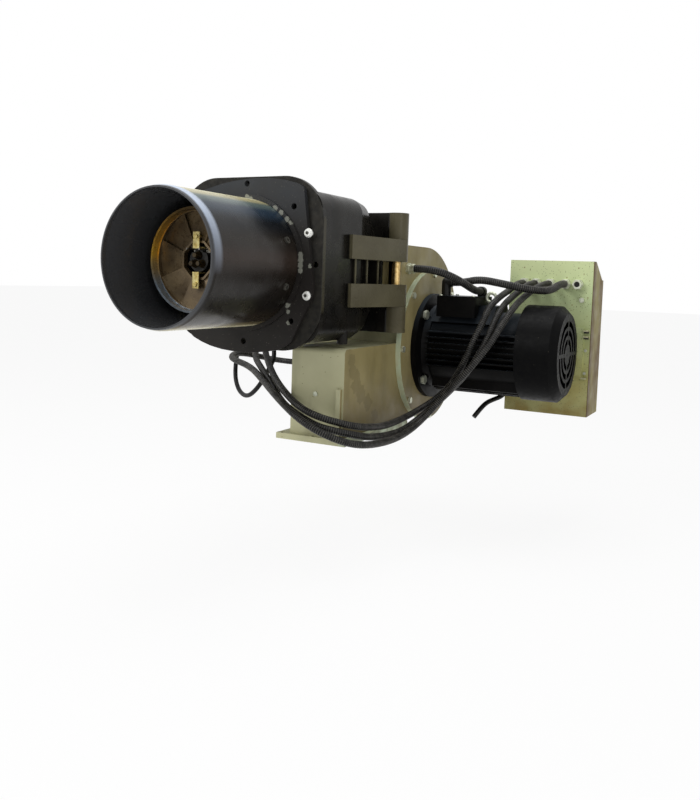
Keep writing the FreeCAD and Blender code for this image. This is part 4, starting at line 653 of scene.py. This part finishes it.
# The control box's bracket to the right of the motor: its folded edges, and under each of the
# upper two a dark strip of painted shade where the fold shadows the leaf.
BRACKET_START, BRACKET_END, BRACKET_SEAT = 529.3, 541, 639.7
EDGE_LEVELS, EDGE_FRONT, EDGE_HALF = (-129, -143, -242), 626, 1.5
SHADE_STRIP_FRONT, SHADE_STRIP_DEPTH, SHADE_STRIP_GAP = 636, 6, 1.8
blocks("bracket_edges",
       [((BRACKET_START, EDGE_FRONT, level - EDGE_HALF),
         (BRACKET_END, BRACKET_SEAT, level + EDGE_HALF)) for level in EDGE_LEVELS],
       "housing_paint", "blower")
# Dark strips under the upper two folds: painted shade.
blocks("bracket_fold_shade",
       [((BRACKET_START, SHADE_STRIP_FRONT, level - SHADE_STRIP_DEPTH),
         (BRACKET_END, BRACKET_SEAT, level - SHADE_STRIP_GAP)) for level in EDGE_LEVELS[:2]],
       "dull_screw", "blower")

# A dark hexagon on each screw that holds the casting, painted shade standing in for its socket.
RECESS_ACROSS, RECESS_UP, RECESS_FRONT, RECESS_RADIUS = 143.2, 59.3, -5.3, 3.6
drums("casting_screw_socket_shade",
      [(side * RECESS_ACROSS, RECESS_FRONT, level)
       for side in (-1, 1) for level in (-RECESS_UP, RECESS_UP)],
      RECESS_RADIUS, 0.6, "dull_screw", "head", sides=6)

# A dark disc in the empty gland at the right end of the control box's row: painted shade for its
# open bore.
GLAND_MIDDLE, BORE_SHADE_RADIUS = (510, 620.9, -20), 6.5
drums("empty_gland_bore_shade", [GLAND_MIDDLE], BORE_SHADE_RADIUS, 0.8, "sensor_black", "blower")

# Two screw heads on the leaf of the control box's bracket.
SCREW_ACROSS, SCREW_FRONT, SCREW_LEVELS, SCREW_RADIUS = 535, 635.4, (-176, -230), 3.5
drums("bracket_screws", [(SCREW_ACROSS, SCREW_FRONT, level) for level in SCREW_LEVELS],
      SCREW_RADIUS, 4.2, "zinc_steel", "blower")

# The studio

# The floor's height in mm. Each lamp: its name, place in metres, width in metres and power in
# watts; all of them aim at one spot, in metres.
FLOOR = -620
LAMPS = [("key", (-1.4, -2.4, 1.6), 1.4, 55), ("over", (0.2, 0.2, 2.4), 1.6, 30),
         ("fill", (2.6, -1.2, 0.6), 1.2, 10)]
LAMPS_AIM = (0.2, 0.3, -0.1)
# How brightly the world lights the burner, how much of the floor is glow, and its half width.
WORLD_LIGHT, FLOOR_GLOW, FLOOR_HALF = 0.4, 0.9, 20


def backdrop_rays(tree):
    """1 for the rays that see the backdrop: the camera's, and those of gloss and glass."""
    ray = add(tree, "ShaderNodeLightPath").outputs
    seen = add(tree, "ShaderNodeMath", {"operation": "MAXIMUM"}, _0=ray["Is Camera Ray"],
               _1=ray["Is Glossy Ray"])
    return add(tree, "ShaderNodeMath", {"operation": "MAXIMUM"}, _0=seen.outputs[0],
               _1=ray["Is Transmission Ray"]).outputs[0]


def studio():
    """White world and floor as the camera and glossy rays see them, and a plain even level of
    light on the burner from a large lamp ahead on the left, one above and a faint one on the
    right."""
    world = bpy.data.worlds.new("studio")
    world.use_nodes = True
    tree = world.node_tree
    backdrop = tree.nodes["Background"]
    level = add(tree, "ShaderNodeMapRange", Value=backdrop_rays(tree), To_Min=WORLD_LIGHT,
                To_Max=1)
    backdrop.inputs["Color"].default_value = (1, 1, 1, 1)
    tree.links.new(level.outputs[0], backdrop.inputs["Strength"])
    scene.world = world
    scene.view_settings.view_transform = "Standard"

    mesh = bpy.data.meshes.new("floor")
    mesh.from_pydata([(x * FLOOR_HALF, y * FLOOR_HALF, 0)
                      for x, y in ((-1, -1), (1, -1), (1, 1), (-1, 1))], [], [(0, 1, 2, 3)])
    floor = bpy.data.objects.new("floor", mesh)
    floor.location = (0, 0, FLOOR * MM)
    scene.collection.objects.link(floor)
    material, tree, shader, _ = finish_named("pale_floor")
    shader.inputs["Base Color"].default_value = (0.9, 0.9, 0.9, 1)
    shader.inputs["Roughness"].default_value = 0.9
    glow = add(tree, "ShaderNodeEmission", Color=(1, 1, 1, 1), Strength=1)
    share = add(tree, "ShaderNodeMath", {"operation": "MULTIPLY"}, _0=backdrop_rays(tree),
                _1=FLOOR_GLOW)
    blend = add(tree, "ShaderNodeMixShader", _0=share.outputs[0], _1=shader.outputs[0],
                _2=glow.outputs[0])
    tree.links.new(blend.outputs[0], tree.nodes["Material Output"].inputs["Surface"])
    mesh.materials.append(material)
    for name, spot, width, power in LAMPS:
        data = bpy.data.lights.new(name, "AREA")
        data.size = width
        data.energy = power
        lamp = bpy.data.objects.new(name, data)
        lamp.location = spot
        aim = Vector(LAMPS_AIM) - Vector(spot)
        lamp.rotation_euler = aim.to_track_quat("-Z", "Y").to_euler()
        scene.collection.objects.link(lamp)


studio()
